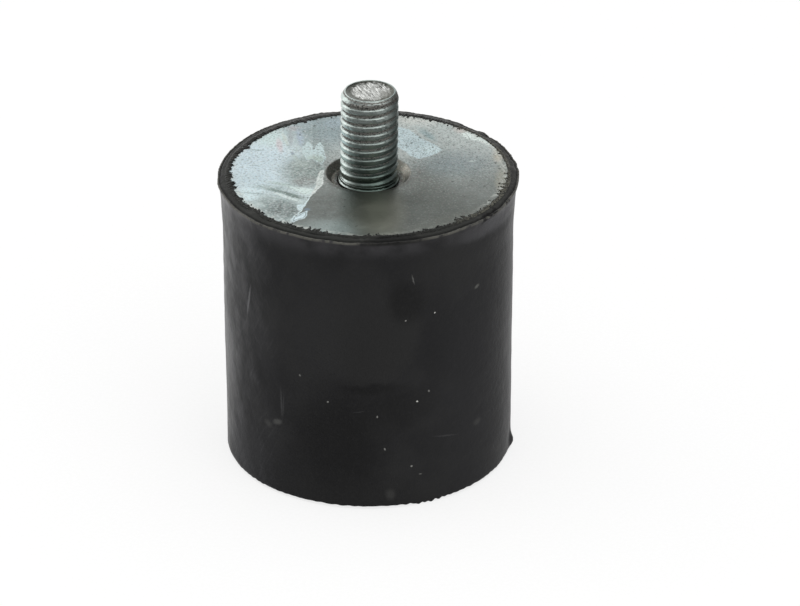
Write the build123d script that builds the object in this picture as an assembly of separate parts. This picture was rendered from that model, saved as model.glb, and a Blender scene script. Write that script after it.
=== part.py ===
from build123d import *
from math import atan2, radians, tan
import os

# Bobbin vibration mount: a rubber cylinder moulded between two steel plates, with a threaded stud
# standing on the top plate and a blind tapped bush opening in the base plate.
# Millimetres. +Z runs up the axis, and Z = 0 is the base plate's outer face.

# ---- Driving dimensions: the two plates ----------------------------------------------------------
body_height = 50.0  # between the outer faces of the two plates
plate_diameter = 46.0
plate_thickness = 2.5
plate_bevel = 0.3  # blanked edge of each plate's outer face
dish_mouth_diameter = 13.9  # pressed dish round the stud, in the top plate
dish_floor_diameter = 12.0
dish_depth = 1.2
dish_bend_radius = 0.4

# ---- Driving dimensions: the moulding ------------------------------------------------------------
lip_cover = 1.9  # rubber beyond the top plate's edge, at the lip, where the mould parts
flank_cover = 0.95  # rubber beyond the plates' edge, on the flank just under the lip's flare
flank_draft = 0.17  # radius that the flank loses from the flare down to the foot
flare_height = 6.2  # the flank runs out to the lip in a hollow arc over this height
lip_land = 0.25  # upright outer face of the lip
rim_drop = 0.45  # the rim falls this far from the plate's face to its outer fin
fin_width = 0.2  # flat crest of the fin round the rim
groove_width = 0.45  # shallow groove just inside the fin
groove_depth = 0.15
foot_drop = 0.35  # the rubber ends this far above the base plate's outer face
foot_bevel = 0.35  # of the foot's outer edge

# ---- Driving dimensions: the stud, M10 x 1.5 -----------------------------------------------------
stud_diameter = 9.75  # over the crests of the rolled thread
stud_length = 15.0  # above the top plate's face
tip_diameter = 8.4  # of the end, inside the chamfer
tip_height = 1.1
tip_land = 0.2  # flat ring round the shallow cup that rolling leaves in the end
tip_cup_diameter = 6.8  # of the cup's floor
tip_cup_depth = 0.3
collar_diameter = 10.2  # plain collar that is pressed through the plate
collar_drop = 0.9  # the collar ends this far below the plate's face
head_diameter = 18.0
head_height = 4.5
head_bevel = 1.0

# ---- Driving dimensions: the bush, tapped M10 ----------------------------------------------------
bush_diameter = 18.0
bush_height = 14.0
bush_bevel = 1.0
bush_recess = 0.15  # the bush's face lies this far inside the base plate's
spigot_diameter = 14.0  # turned-down end that is pressed into the base plate
tapping_diameter = 8.5
tapped_depth = 10.0  # from the bush's face to the end of the full bore
entry_diameter = 10.4  # countersunk mouth
entry_angle = 45.0  # of the countersink, from the axis
drill_point_angle = 59.0  # of the bore's drilled end, from the axis

# ---- Driving dimensions: the nib of flash on the foot --------------------------------------------
nib_reach = 0.55  # out from the flank
nib_height = 2.3
nib_arc = 9.0  # degrees round the axis
nib_root = 0.5  # how deep the nib is rooted in the flank

# ---- Sizes that follow from them -----------------------------------------------------------------
plate_radius = plate_diameter / 2
face_radius = plate_radius - plate_bevel
lip_radius = plate_radius + lip_cover
waist_radius = plate_radius + flank_cover
foot_radius = waist_radius - flank_draft
dish_wall_angle = atan2(dish_depth, (dish_mouth_diameter - dish_floor_diameter) / 2)
dish_floor_level = body_height - dish_depth
dish_underside_level = dish_floor_level - plate_thickness
fin_level = body_height - rim_drop
flare_foot_level = fin_level - lip_land - flare_height
head_level = dish_underside_level - head_height
tip_level = body_height + stud_length
bore_radius = tapping_diameter / 2
bore_end_level = bush_recess + tapped_depth
drill_point_level = bore_end_level + bore_radius / tan(radians(drill_point_angle))
bush_top_level = bush_recess + bush_height


def closed(*corners):
    """The half section with these corners, each a (radius, height)."""
    return make_face(Polyline(*corners, close=True))


def turned(section, arc=360.0):
    """The solid that a half section sweeps about Z."""
    return revolve(Plane.XZ * section, Axis.Z, arc)


def dished_line(depth):
    """The top plate's line at a depth under its face, from the axis out to the dish's mouth.

    Both bends move outwards with depth, by the mitre of the dish's wall, so the sheet keeps its
    thickness through the dish.
    """
    mitre = depth * tan(dish_wall_angle / 2)
    floor_level = dish_floor_level - depth
    floor_bend = (dish_floor_diameter / 2 + mitre, floor_level)
    mouth_bend = (dish_mouth_diameter / 2 + mitre, body_height - depth)
    return [(0, floor_level), floor_bend, mouth_bend]


def make_top_plate():
    """A blanked steel disc, dished at its centre and pierced for the stud's collar."""
    face = dished_line(0)
    underside = dished_line(plate_thickness)
    section = closed(
        *face,
        (face_radius, body_height),
        (plate_radius, body_height - plate_bevel),
        (plate_radius, body_height - plate_thickness),
        *reversed(underside),
    )
    bends = [section.vertices().sort_by_distance(bend)[0] for bend in face[1:]]
    disc = turned(fillet(bends, dish_bend_radius))
    bottom_up = (Align.CENTER, Align.CENTER, Align.MIN)
    collar_hole = Cylinder(collar_diameter / 2, plate_thickness, align=bottom_up)
    return disc - Pos(Z=dish_underside_level) * collar_hole


def make_stud():
    """A headed screw: round head under the plate, collar through it, and the thread's blank above.

    The blank has the thread's outer diameter, and its fine thread is not cut.
    """
    head_radius = head_diameter / 2
    section = closed(
        (0, head_level),
        (head_radius - head_bevel, head_level),
        (head_radius, head_level + head_bevel),
        (head_radius, dish_underside_level),
        (collar_diameter / 2, dish_underside_level),
        (collar_diameter / 2, body_height - collar_drop),
        (stud_diameter / 2, body_height - collar_drop),
        (stud_diameter / 2, tip_level - tip_height),
        (tip_diameter / 2, tip_level),
        (tip_diameter / 2 - tip_land, tip_level),
        (tip_cup_diameter / 2, tip_level - tip_cup_depth),
        (0, tip_level - tip_cup_depth),
    )
    return turned(section)


def make_base_plate():
    """A flat blanked disc with a hole for the bush's spigot."""
    section = closed(
        (spigot_diameter / 2, 0),
        (face_radius, 0),
        (plate_radius, plate_bevel),
        (plate_radius, plate_thickness),
        (spigot_diameter / 2, plate_thickness),
    )
    return turned(section)


def make_bush():
    """A turned bush that stands on the base plate, with its spigot pressed into the plate's hole."""
    bush_radius = bush_diameter / 2
    entry_radius = entry_diameter / 2
    entry_depth = (entry_radius - bore_radius) / tan(radians(entry_angle))
    section = closed(
        (0, drill_point_level),
        (bore_radius, bore_end_level),
        (bore_radius, bush_recess + entry_depth),
        (entry_radius, bush_recess),
        (spigot_diameter / 2, bush_recess),
        (spigot_diameter / 2, plate_thickness),
        (bush_radius, plate_thickness),
        (bush_radius, bush_top_level - bush_bevel),
        (bush_radius - bush_bevel, bush_top_level),
        (0, bush_top_level),
    )
    return turned(section)


def make_moulding():
    """The mould's outer form: drafted flank, hollow flare, and a rim that falls to a thin fin.

    Its section closes along the middle of the plates' and the bush's walls, inside the steel.
    """
    plate_middle = plate_thickness / 2
    bush_wall_middle = (bore_radius + bush_diameter / 2) / 2
    bush_end_middle = (drill_point_level + bush_top_level) / 2
    groove_outer = lip_radius - fin_width
    groove_inner = groove_outer - groove_width
    rim_slope = rim_drop / (lip_radius - face_radius)

    flank_foot = (foot_radius, foot_drop + foot_bevel)
    flank_top = (waist_radius, flare_foot_level)
    lip_foot = (lip_radius, fin_level - lip_land)
    flank = Line(flank_foot, flank_top)
    flare = TangentArc(flank_top, lip_foot, tangent=flank % 1)
    rim_and_inside = Polyline(
        lip_foot,
        (lip_radius, fin_level),
        (groove_outer, fin_level),
        (groove_outer - groove_width / 2, fin_level - groove_depth),
        (groove_inner, body_height - rim_slope * (groove_inner - face_radius)),
        (face_radius, body_height),
        (face_radius, body_height - plate_middle),
        *reversed(dished_line(plate_middle)),
        (0, bush_end_middle),
        (bush_wall_middle, bush_end_middle),
        (bush_wall_middle, plate_middle),
        (face_radius, plate_middle),
        (face_radius, foot_drop),
        (foot_radius - foot_bevel, foot_drop),
        flank_foot,
    )
    return turned(make_face([flank, flare, rim_and_inside]))


def make_flash_nib():
    """A torn nib of flash on the foot: a blunt wedge on the flank, on the +X side."""
    section = closed(
        (foot_radius - nib_root, foot_drop + foot_bevel),
        (foot_radius + nib_reach, foot_drop + foot_bevel),
        (foot_radius + nib_reach, foot_drop + nib_height / 2),
        (foot_radius - nib_root, foot_drop + nib_height),
    )
    return Rot(Z=-nib_arc / 2) * turned(section, nib_arc)


def make_rubber(inserts):
    """The rubber, which meets every insert face to face, because it is bonded to them."""
    return make_moulding() + make_flash_nib() - inserts


top_plate = make_top_plate()
threaded_stud = make_stud()
base_plate = make_base_plate()
threaded_bush = make_bush()

nodes = {
    "rubber_body": make_rubber([top_plate, threaded_stud, base_plate, threaded_bush]),
    "top_plate": top_plate,
    "threaded_stud": threaded_stud,
    "base_plate": base_plate,
    "threaded_bush": threaded_bush,
}

os.makedirs("parts", exist_ok=True)
for name, solid in nodes.items():
    export_step(solid, f"parts/{name}.step")
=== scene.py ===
from math import pi, radians, sin, cos, sqrt, tan, tau

import bpy
import numpy as np
from bpy.props import FloatProperty, FloatVectorProperty, IntProperty, PointerProperty
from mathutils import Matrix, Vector


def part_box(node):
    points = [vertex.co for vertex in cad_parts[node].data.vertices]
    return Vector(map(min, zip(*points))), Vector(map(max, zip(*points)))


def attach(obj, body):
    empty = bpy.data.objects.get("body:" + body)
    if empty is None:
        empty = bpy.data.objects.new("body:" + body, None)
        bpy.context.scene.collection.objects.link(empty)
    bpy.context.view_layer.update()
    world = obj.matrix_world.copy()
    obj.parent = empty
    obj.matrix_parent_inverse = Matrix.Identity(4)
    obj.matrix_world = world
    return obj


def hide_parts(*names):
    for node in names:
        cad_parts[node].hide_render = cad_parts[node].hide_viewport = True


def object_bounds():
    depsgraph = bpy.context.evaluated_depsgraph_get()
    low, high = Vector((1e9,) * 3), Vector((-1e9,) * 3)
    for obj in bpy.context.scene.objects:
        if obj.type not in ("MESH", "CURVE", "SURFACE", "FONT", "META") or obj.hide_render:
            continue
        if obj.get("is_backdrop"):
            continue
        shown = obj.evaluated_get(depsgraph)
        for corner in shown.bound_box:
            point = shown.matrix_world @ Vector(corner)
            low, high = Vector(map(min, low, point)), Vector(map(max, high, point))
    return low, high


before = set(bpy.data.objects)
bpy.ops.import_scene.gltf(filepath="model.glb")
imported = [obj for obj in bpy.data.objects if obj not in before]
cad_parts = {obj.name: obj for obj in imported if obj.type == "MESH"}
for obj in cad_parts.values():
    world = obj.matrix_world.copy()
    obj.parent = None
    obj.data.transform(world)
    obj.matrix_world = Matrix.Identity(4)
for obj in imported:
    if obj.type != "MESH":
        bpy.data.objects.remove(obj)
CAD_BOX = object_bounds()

bl_info = {
    "name": "Bobbin vibration mount",
    "version": (1, 0, 0),
    "blender": (4, 5, 0),
    "location": "3D View > Sidebar > Mount",
    "description": "Dresses a bonded rubber bobbin mount: moulded rubber, plated plates, stud and bush",
    "category": "Object",
}

MM = 0.001  # the surfaces are worked out in millimetres, and Blender works in metres

# ---- Sizes that come from the frame, in millimetres ----------------------------------------------
LIP_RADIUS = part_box("rubber_body")[1].y / MM
FOOT_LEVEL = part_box("rubber_body")[0].z / MM
PLATE_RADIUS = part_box("top_plate")[1].x / MM
FACE_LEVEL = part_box("top_plate")[1].z / MM
DISH_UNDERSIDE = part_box("top_plate")[0].z / MM
PLATE_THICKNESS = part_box("base_plate")[1].z / MM
HEAD_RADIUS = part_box("threaded_stud")[1].x / MM
HEAD_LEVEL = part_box("threaded_stud")[0].z / MM
TIP_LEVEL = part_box("threaded_stud")[1].z / MM
BUSH_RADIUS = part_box("threaded_bush")[1].x / MM
BUSH_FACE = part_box("threaded_bush")[0].z / MM
BUSH_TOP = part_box("threaded_bush")[1].z / MM

# ---- The solids' other sizes, in millimetres -----------------------------------------------------
PLATE_BEVEL = 0.1  # the solid's is 0.3, but where the flash is off, the blanked edge shows sharper
DISH_FLOOR_RADIUS = 6.0
DISH_MOUTH_RADIUS = 6.95
DISH_BEND = 0.4
COLLAR_RADIUS = 5.1
COLLAR_LEVEL = FACE_LEVEL - 0.9
STUD_RADIUS = 4.875
TIP_RADIUS = 4.2
TIP_HEIGHT = 1.1
TIP_LAND = 0.2
CUP_RADIUS = 3.4
CUP_DEPTH = 0.3
WAIST_RADIUS = 23.95
FOOT_RADIUS = 23.78
FOOT_BEVEL = 0.35
FIN_LEVEL = FACE_LEVEL - 0.45
LIP_LAND = 0.25
FLARE_HEIGHT = 6.2
FIN_WIDTH = 0.2
GROOVE_WIDTH = 0.45
SPIGOT_RADIUS = 7.0
BORE_RADIUS = 4.25
BORE_ENTRY_RADIUS = 5.2
BORE_DEPTH = 10.0
DRILL_POINT_HEIGHT = 2.55
BEVEL = 1.0  # of the stud's head and of the bush's inner end
PITCH = 1.5  # of both M10 threads

FACE_EDGE = PLATE_RADIUS - PLATE_BEVEL
FLARE_FOOT = FIN_LEVEL - LIP_LAND - FLARE_HEIGHT
GROOVE_OUTER = LIP_RADIUS - FIN_WIDTH
BORE_END = BUSH_FACE + BORE_DEPTH


def linear(colour):
    """The linear colour of an sRGB hex string."""
    channels = [int(colour[i : i + 2], 16) / 255 for i in (1, 3, 5)]
    return tuple(c / 12.92 if c <= 0.04045 else ((c + 0.055) / 1.055) ** 2.4 for c in channels)


def colour_of(tone):
    """The linear colour of a tone: an sRGB hex string, or a colour that a user may change."""
    return linear(tone) if isinstance(tone, str) else tuple(tone)


def tint(name, what, colour):
    """A colour that a user may change, given as sRGB hex."""
    return FloatVectorProperty(name=name, description=what, subtype="COLOR", default=linear(colour))


# ---- What a user may change ----------------------------------------------------------------------
class MouldingSettings(bpy.types.PropertyGroup):
    """The rubber's form"""

    columns: IntProperty(
        name="Columns", description="Steps round the moulding", default=640, min=64, max=680
    )
    unevenness: FloatProperty(
        name="Unevenness", description="How far the flank wanders from true, mm", default=0.035
    )
    tear: FloatProperty(name="Tear", description="Depth of the teeth in the torn flash, mm", default=0.2)
    film: FloatProperty(name="Film", description="Thickness of the flash over the plate, mm", default=0.12)


class ThreadSettings(bpy.types.PropertyGroup):
    """The M10 threads' form"""

    depth: FloatProperty(
        name="Depth", description="From crest to root of the stud's thread, mm", default=0.58
    )
    crest: FloatProperty(name="Crest", description="Width of the rolled crest, mm", default=0.74)
    columns: IntProperty(
        name="Columns", description="Steps round the thread", default=210, min=48, max=260
    )


class FinishSettings(bpy.types.PropertyGroup):
    """The colours of the finishes"""

    rubber: tint("Rubber", "Black rubber", "#18181a")
    bloom: tint("Bloom", "Grey bloom on the rubber", "#262626")
    rim: tint("Rim", "Trimmed rubber of the rim", "#242522")
    plate: tint("Plate", "Zinc on the plates", "#bcc5c3")
    film: tint("Film", "Milky film left on the top plate", "#c0d0d1")
    stud: tint("Stud", "Zinc on the thread", "#ccd6d2")
    grime: tint("Grime", "Dry grime in the thread's roots", "#787772")


class StageSettings(bpy.types.PropertyGroup):
    """The light and the camera"""

    key: FloatProperty(name="Key", description="Left softbox", subtype="POWER", default=0.8)
    fill: FloatProperty(
        name="Fill", description="Front softbox, a little to the right", subtype="POWER", default=0.5
    )
    top: FloatProperty(name="Top", description="Overhead softbox", subtype="POWER", default=1.9)
    sky: FloatProperty(name="Sky", description="Level of the even light", default=0.78)
    shade: FloatProperty(
        name="Shade", description="Level of the room's dim sides, by reflection", default=0.2
    )
    card: FloatProperty(
        name="Card", description="Level of the pale card at the front right, on top", default=0.15
    )
    elevation: FloatProperty(
        name="Elevation",
        description="Height of the camera's line above the floor's",
        subtype="ANGLE",
        default=radians(27.72),
    )
    distance: FloatProperty(
        name="Distance", description="From the camera to the mount", unit="LENGTH", default=0.9
    )


# ---- Shapes --------------------------------------------------------------------------------------
def runs(corners, step):
    """Points along the straight runs between (radius, height) corners, no more than a step apart."""
    pieces = []
    for start, end in zip(corners[:-1], corners[1:]):
        count = max(1, int(np.ceil(np.hypot(end[0] - start[0], end[1] - start[1]) / step)))
        share = np.arange(count)[:, None] / count
        pieces.append(np.array(start) * (1 - share) + np.array(end) * share)
    return np.vstack(pieces + [np.array([corners[-1]])])


def column_angles(columns):
    """The angle of each column of a turned surface, in radians off +X."""
    return np.arange(columns) * tau / columns


def turned(profile, columns):
    """The surface that a (radius, height) profile sweeps about Z: rows along it, columns round it."""
    angle = column_angles(columns)
    radius, height = profile[:, 0, None], profile[:, 1, None]
    level = np.broadcast_to(height, (len(profile), columns))
    return np.stack([radius * np.cos(angle), radius * np.sin(angle), level], axis=-1)


def push_out(grid, distance):
    """Moves the points of a turned surface away from the axis by a distance, in place."""
    angle = column_angles(grid.shape[1])
    grid[..., 0] += distance * np.cos(angle)
    grid[..., 1] += distance * np.sin(angle)


def smooth_max(a, b, width):
    """The larger of two fields, with the corner between them rounded over a width."""
    overlap = np.maximum(width - np.abs(a - b), 0)
    return np.maximum(a, b) + overlap**2 / (4 * width)


def ease(x, low, high):
    """0 below low, 1 above high, and a smooth cubic between them."""
    t = np.clip((x - low) / (high - low), 0, 1)
    return t * t * (3 - 2 * t)


def bell(x, centre, width):
    """A bell of height 1 about a centre."""
    return np.exp(-(((x - centre) / width) ** 2))


def ring_noise(angle, low, high, seed):
    """A closed wave round the axis: cosines of low to high waves a turn, random phases, unit RMS."""
    random = np.random.default_rng(seed)
    waves = np.arange(low, high + 1)
    phases = random.uniform(0, tau, len(waves))
    sizes = random.uniform(0.4, 1.0, len(waves))
    sizes = sizes / sqrt(float((sizes**2).sum()) / 2)
    return (sizes * np.cos(np.multiply.outer(angle, waves) + phases)).sum(axis=-1)


def space_noise(points, size, seed, count=28):
    """Smooth noise in space: plane waves about a size long, in random directions, unit RMS."""
    random = np.random.default_rng(seed)
    ways = random.normal(size=(count, 3))
    ways /= np.linalg.norm(ways, axis=1)[:, None]
    ways *= (tau / size / random.uniform(0.7, 1.6, count))[:, None]
    phases = random.uniform(0, tau, count)
    return np.cos(points @ ways.T + phases).sum(axis=-1) / sqrt(count / 2)


def turn_from_front(angle):
    """Degrees round the axis, 0 at the -Y side and positive towards +X, from radians off +X."""
    return (np.degrees(angle) + 270) % 360 - 180


def outline_distance(points, outline):
    """How far each (x, y) point lies inside a closed outline; it is negative outside."""
    start = np.array(outline, float)
    end = np.roll(start, -1, axis=0)
    flat = points.reshape(-1, 1, 2)
    side = end - start
    share = ((flat - start) * side).sum(-1) / (side**2).sum(-1)
    nearest = start + np.clip(share, 0, 1)[..., None] * side
    distance = np.linalg.norm(flat - nearest, axis=-1).min(axis=1)
    above = (start[:, 1] > flat[..., 1]) != (end[:, 1] > flat[..., 1])
    rise = np.where(side[:, 1] == 0, 1, side[:, 1])
    crossing = start[:, 0] + (flat[..., 1] - start[:, 1]) * side[:, 0] / rise
    inside = (above & (flat[..., 0] < crossing)).sum(axis=1) % 2
    return np.where(inside, distance, -distance).reshape(points.shape[:-1])


def make_piece(name, grid, material, ring=False, poles=(False, False), fields=None):
    """A mesh over a grid of points in millimetres, whose columns close round the axis.

    Quads join each row to the next. With ring, the last row is joined to the first; a pole is a row
    that has shrunk to a point, and is closed by a fan. fields are numbers for each point, which the
    materials read. Faces point outwards where the rows climb the outside.
    """
    rows, columns = grid.shape[:2]
    between_poles = slice(int(poles[0]), rows - int(poles[1]))
    points = grid[between_poles].reshape(-1, 3)
    corner = np.arange(len(points)).reshape(-1, columns)
    beside = np.roll(corner, -1, axis=1)
    above, above_beside = np.roll(corner, -1, axis=0), np.roll(beside, -1, axis=0)
    quads = np.stack([corner, beside, above_beside, above], -1)
    quads = quads[: len(quads) if ring else -1].reshape(-1, 4)
    loops, sizes = [quads.ravel()], [np.full(len(quads), 4)]
    ends = []
    for end, wanted in zip((0, -1), poles):
        if wanted:
            tips = np.full(columns, len(points) + len(ends))
            fan = [corner[end], beside[end], tips] if end else [beside[end], corner[end], tips]
            loops.append(np.stack(fan, -1).ravel())
            sizes.append(np.full(columns, 3))
            ends.append(end)
    points = np.vstack([points] + [grid[end, :1] for end in ends])
    loops, sizes = np.concatenate(loops), np.concatenate(sizes)
    mesh = bpy.data.meshes.new(name)
    mesh.vertices.add(len(points))
    mesh.vertices.foreach_set("co", (points * MM).ravel())
    mesh.loops.add(len(loops))
    mesh.loops.foreach_set("vertex_index", loops)
    mesh.polygons.add(len(sizes))
    mesh.polygons.foreach_set("loop_start", np.cumsum(sizes) - sizes)
    mesh.polygons.foreach_set("use_smooth", np.ones(len(sizes), bool))
    mesh.update(calc_edges=True)
    mesh.validate()
    for field, values in (fields or {}).items():
        values = np.broadcast_to(values, (rows, columns))
        flat = np.concatenate([values[between_poles].ravel(), [values[end, 0] for end in ends]])
        mesh.attributes.new(field, "FLOAT", "POINT").data.foreach_set("value", flat)
    mesh.materials.append(material)
    piece = bpy.data.objects.new(name, mesh)
    bpy.context.scene.collection.objects.link(piece)
    return piece


def join(pieces, name):
    """One piece from several, under a name."""
    with bpy.context.temp_override(
        active_object=pieces[0], selected_editable_objects=pieces, selected_objects=pieces
    ):
        bpy.ops.object.join()
    pieces[0].name = name
    pieces[0].data.name = name
    return pieces[0]


def grains(place, level, size, squash, seed, rows=7, columns=9):
    """Dented grains at (radius, turn) places: balls stretched along X by a squash, with random dents."""
    random = np.random.default_rng(seed)
    radius, turn = place
    count = len(turn)
    angle = np.radians(turn - 90)
    centre = np.stack([radius * np.cos(angle), radius * np.sin(angle), level], -1)
    up = np.linspace(-pi / 2, pi / 2, rows)[:, None]
    about = column_angles(columns)[None, :]
    level_share = np.sin(up) + 0 * about
    ball = np.stack([np.cos(up) * np.cos(about), np.cos(up) * np.sin(about), level_share], -1)
    dents = 1 + 0.28 * np.cos(3 * ball @ random.normal(size=(3, count)) + random.uniform(0, tau, count))
    shapes = ball[None] * np.moveaxis(dents, -1, 0)[..., None] * size[:, None, None, None]
    shapes[..., 0] *= squash[:, None, None]
    return shapes + centre[:, None, None]


# ---- The rubber ----------------------------------------------------------------------------------
CAVITY_MITRE = 0.524 * PLATE_THICKNESS  # how far the rubber's bends lie outside the dish's
GROOVE_DEPTH = 0.15  # mm, of the groove inside the fin
FOOT_FULLNESS = 0.3  # share of the foot's bevel that its rounding keeps


def flare_radius(height):
    """The hollow arc of the flare: a circle that leaves the flank upright and reaches the lip."""
    run = LIP_RADIUS - WAIST_RADIUS
    arc = (run**2 + FLARE_HEIGHT**2) / (2 * run)
    up = np.clip(height - FLARE_FOOT, 0, FLARE_HEIGHT)
    return WAIST_RADIUS + arc - np.sqrt(arc**2 - up**2)


def rim_level(radius):
    """The rim's slope, from the plate's bevel down to the fin."""
    return FACE_LEVEL - (FACE_LEVEL - FIN_LEVEL) * (radius - FACE_EDGE) / (LIP_RADIUS - FACE_EDGE)


def moulding_profile():
    """The rubber's section from the axis over the bush, round the outside, to the axis under the stud."""
    inside_low = [
        (0, BUSH_TOP),
        (BUSH_RADIUS - BEVEL, BUSH_TOP),
        (BUSH_RADIUS, BUSH_TOP - BEVEL),
        (BUSH_RADIUS, PLATE_THICKNESS),
        (PLATE_RADIUS, PLATE_THICKNESS),
        (PLATE_RADIUS, FOOT_LEVEL),
    ]
    foot = [
        (PLATE_RADIUS, FOOT_LEVEL),
        (FOOT_RADIUS - FOOT_BEVEL, FOOT_LEVEL),
        (FOOT_RADIUS - FOOT_FULLNESS * FOOT_BEVEL, FOOT_LEVEL + FOOT_FULLNESS * FOOT_BEVEL),
        (FOOT_RADIUS, FOOT_LEVEL + FOOT_BEVEL),
    ]
    flank = [foot[-1], (WAIST_RADIUS, FLARE_FOOT)]
    heights = np.linspace(FLARE_FOOT, FIN_LEVEL - LIP_LAND, 26)
    flare = np.stack([flare_radius(heights), heights], -1)
    groove_inner = GROOVE_OUTER - GROOVE_WIDTH
    lip = [
        (LIP_RADIUS, FIN_LEVEL - LIP_LAND),
        (LIP_RADIUS, FIN_LEVEL - 0.06),
        (LIP_RADIUS - 0.05, FIN_LEVEL),
        (GROOVE_OUTER + 0.04, FIN_LEVEL),
        (GROOVE_OUTER - 0.05, FIN_LEVEL - 0.06),
        (GROOVE_OUTER - GROOVE_WIDTH / 2, FIN_LEVEL - GROOVE_DEPTH),
        (groove_inner, rim_level(groove_inner)),
    ]
    slope = [lip[-1], (FACE_EDGE, FACE_LEVEL)]
    inside_high = [
        (FACE_EDGE, FACE_LEVEL),
        (PLATE_RADIUS, FACE_LEVEL - PLATE_BEVEL),
        (PLATE_RADIUS, FACE_LEVEL - PLATE_THICKNESS),
        (DISH_MOUTH_RADIUS + CAVITY_MITRE, FACE_LEVEL - PLATE_THICKNESS),
        (DISH_FLOOR_RADIUS + CAVITY_MITRE, DISH_UNDERSIDE),
        (HEAD_RADIUS, DISH_UNDERSIDE),
        (HEAD_RADIUS, HEAD_LEVEL + BEVEL),
        (HEAD_RADIUS - BEVEL, HEAD_LEVEL),
        (0, HEAD_LEVEL),
    ]
    return np.vstack(
        [
            runs(inside_low, 20.0)[:-1],
            runs(foot, 0.15)[:-1],
            runs(flank, 0.55)[:-1],
            flare[:-1],
            runs(lip, 0.10)[:-1],
            runs(slope, 0.14)[:-1],
            runs(inside_high, 20.0),
        ]
    )


FOOT_NIB = {"turn": 83.0, "level": 1.5, "reach": 0.62, "half_arc": 2.6, "half_height": 1.15}
FOOT_FLASH = {"turn": 23.0, "half_arc": 8.0, "drop": 0.28}
NICKS = ((51.5, 1.9, 0.55), (55.5, 0.8, 0.3), (66.0, 0.5, 0.35), (68.5, 0.35, 0.3))  # turn, width, depth
LUMPS = ((-120, 14, 0.08), (112, 16, 0.10))  # turn, half width, reach
LIP_LOSS = 0.17  # mm, by which the lip was trimmed back
FLARE_GAIN = 0.14  # mm, by which the flare is fuller than a true arc near its foot
LEAST_LEVEL = 0.02  # mm, how near the floor the foot may hang


def shape_moulding(profile, settings):
    """The turned profile, with what the mould and the trimming left on it.

    The flank wanders by long soft waves. The fin and the rim wander more, in waves round the axis,
    stand proud in a few long lumps and are rough at the back right. Nicks are bells cut into the fin.
    A nib of flash stands on the foot at the right, and a shorter lip of flash hangs from the foot's
    edge at the front. The field rim runs from 0 at the fin to 1 at the plate, and is 0 elsewhere; the
    field lip is 1 on the fin and just under it.
    """
    grid = turned(profile, settings.columns)
    radius, height = profile[:, 0, None], profile[:, 1, None]
    angle = column_angles(settings.columns)
    turn = turn_from_front(angle)
    outside = (height > FOOT_LEVEL - 0.01) & (radius > PLATE_RADIUS + 0.02)
    top = ease(height, FIN_LEVEL - 0.9, FIN_LEVEL - 0.1) * (radius > PLATE_RADIUS + 0.02)
    fin = bell(radius, LIP_RADIUS, 0.35) * ease(height, FIN_LEVEL - 0.5, FIN_LEVEL)
    rough = ease(turn, 82, 100) * (1 - ease(turn, 138, 152))

    out = settings.unevenness * space_noise(grid, 17.0, 3) * outside
    out = out + 0.012 * space_noise(grid, 3.2, 4) * outside
    out += FLARE_GAIN * bell(height, FLARE_FOOT + 1.0, 1.9) * outside
    out -= LIP_LOSS * ease(height, FIN_LEVEL - 3.4, FIN_LEVEL - 1.2) * (radius > PLATE_RADIUS + 0.15)
    up = top * (0.030 * ring_noise(angle, 6, 30, 13) + 0.014 * space_noise(grid, 0.9, 14))
    out += top * (0.045 * ring_noise(angle, 5, 26, 11) + 0.008 * ring_noise(angle, 60, 200, 12))
    up += fin * (0.016 * ring_noise(angle, 40, 160, 15) + 0.008 * ring_noise(angle, 160, 300, 16))
    out += fin * 0.010 * ring_noise(angle, 60, 240, 17)
    out += top * rough * 0.045 * ring_noise(angle, 24, 64, 18)
    up += top * rough * 0.030 * ring_noise(angle, 24, 60, 19)
    for place, width, reach in LUMPS:
        out += reach * bell(turn, place, width) * ease(height, FLARE_FOOT, FIN_LEVEL) * outside
    for place, width, depth in NICKS:
        cut = bell(turn, place, width) * fin
        out -= depth * cut
        up -= 0.6 * depth * cut

    nib = bell(turn, FOOT_NIB["turn"], FOOT_NIB["half_arc"])
    out += FOOT_NIB["reach"] * nib * bell(height, FOOT_NIB["level"], FOOT_NIB["half_height"]) * outside
    hanging = bell(height, FOOT_LEVEL, 0.35) * outside
    ragged = 1 + 0.5 * ring_noise(angle, 60, 160, 21)
    up -= FOOT_FLASH["drop"] * bell(turn, FOOT_FLASH["turn"], FOOT_FLASH["half_arc"]) * hanging * ragged
    up -= 0.035 * ring_noise(angle, 20, 120, 22) * hanging
    push_out(grid, out)
    grid[..., 2] += np.maximum(height + up, LEAST_LEVEL) - height
    inward = (LIP_RADIUS - radius) / (LIP_RADIUS - FACE_EDGE)
    rim = np.clip(inward, 0, 1) * (height > FIN_LEVEL - 0.25) * (radius > FACE_EDGE - 0.01)
    lip = ease(height, FIN_LEVEL - 0.5, FIN_LEVEL - 0.2) * ease(radius, LIP_RADIUS - 0.30, LIP_RADIUS - 0.16)
    return grid, {"rim": rim, "lip": lip}


class MOUNT_OT_mould_rubber(bpy.types.Operator):
    """Mould the rubber body between the plates"""

    bl_idname = "mount.mould_rubber"
    bl_label = "Mould rubber"

    def execute(self, context):
        grid, fields = shape_moulding(moulding_profile(), context.scene.mount_moulding)
        material = moulded_rubber(context.scene.mount_finish)
        rubber = make_piece("moulded_rubber", grid, material, poles=(True, True), fields=fields)
        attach(rubber, "root")
        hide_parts("rubber_body")
        return {"FINISHED"}


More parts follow.
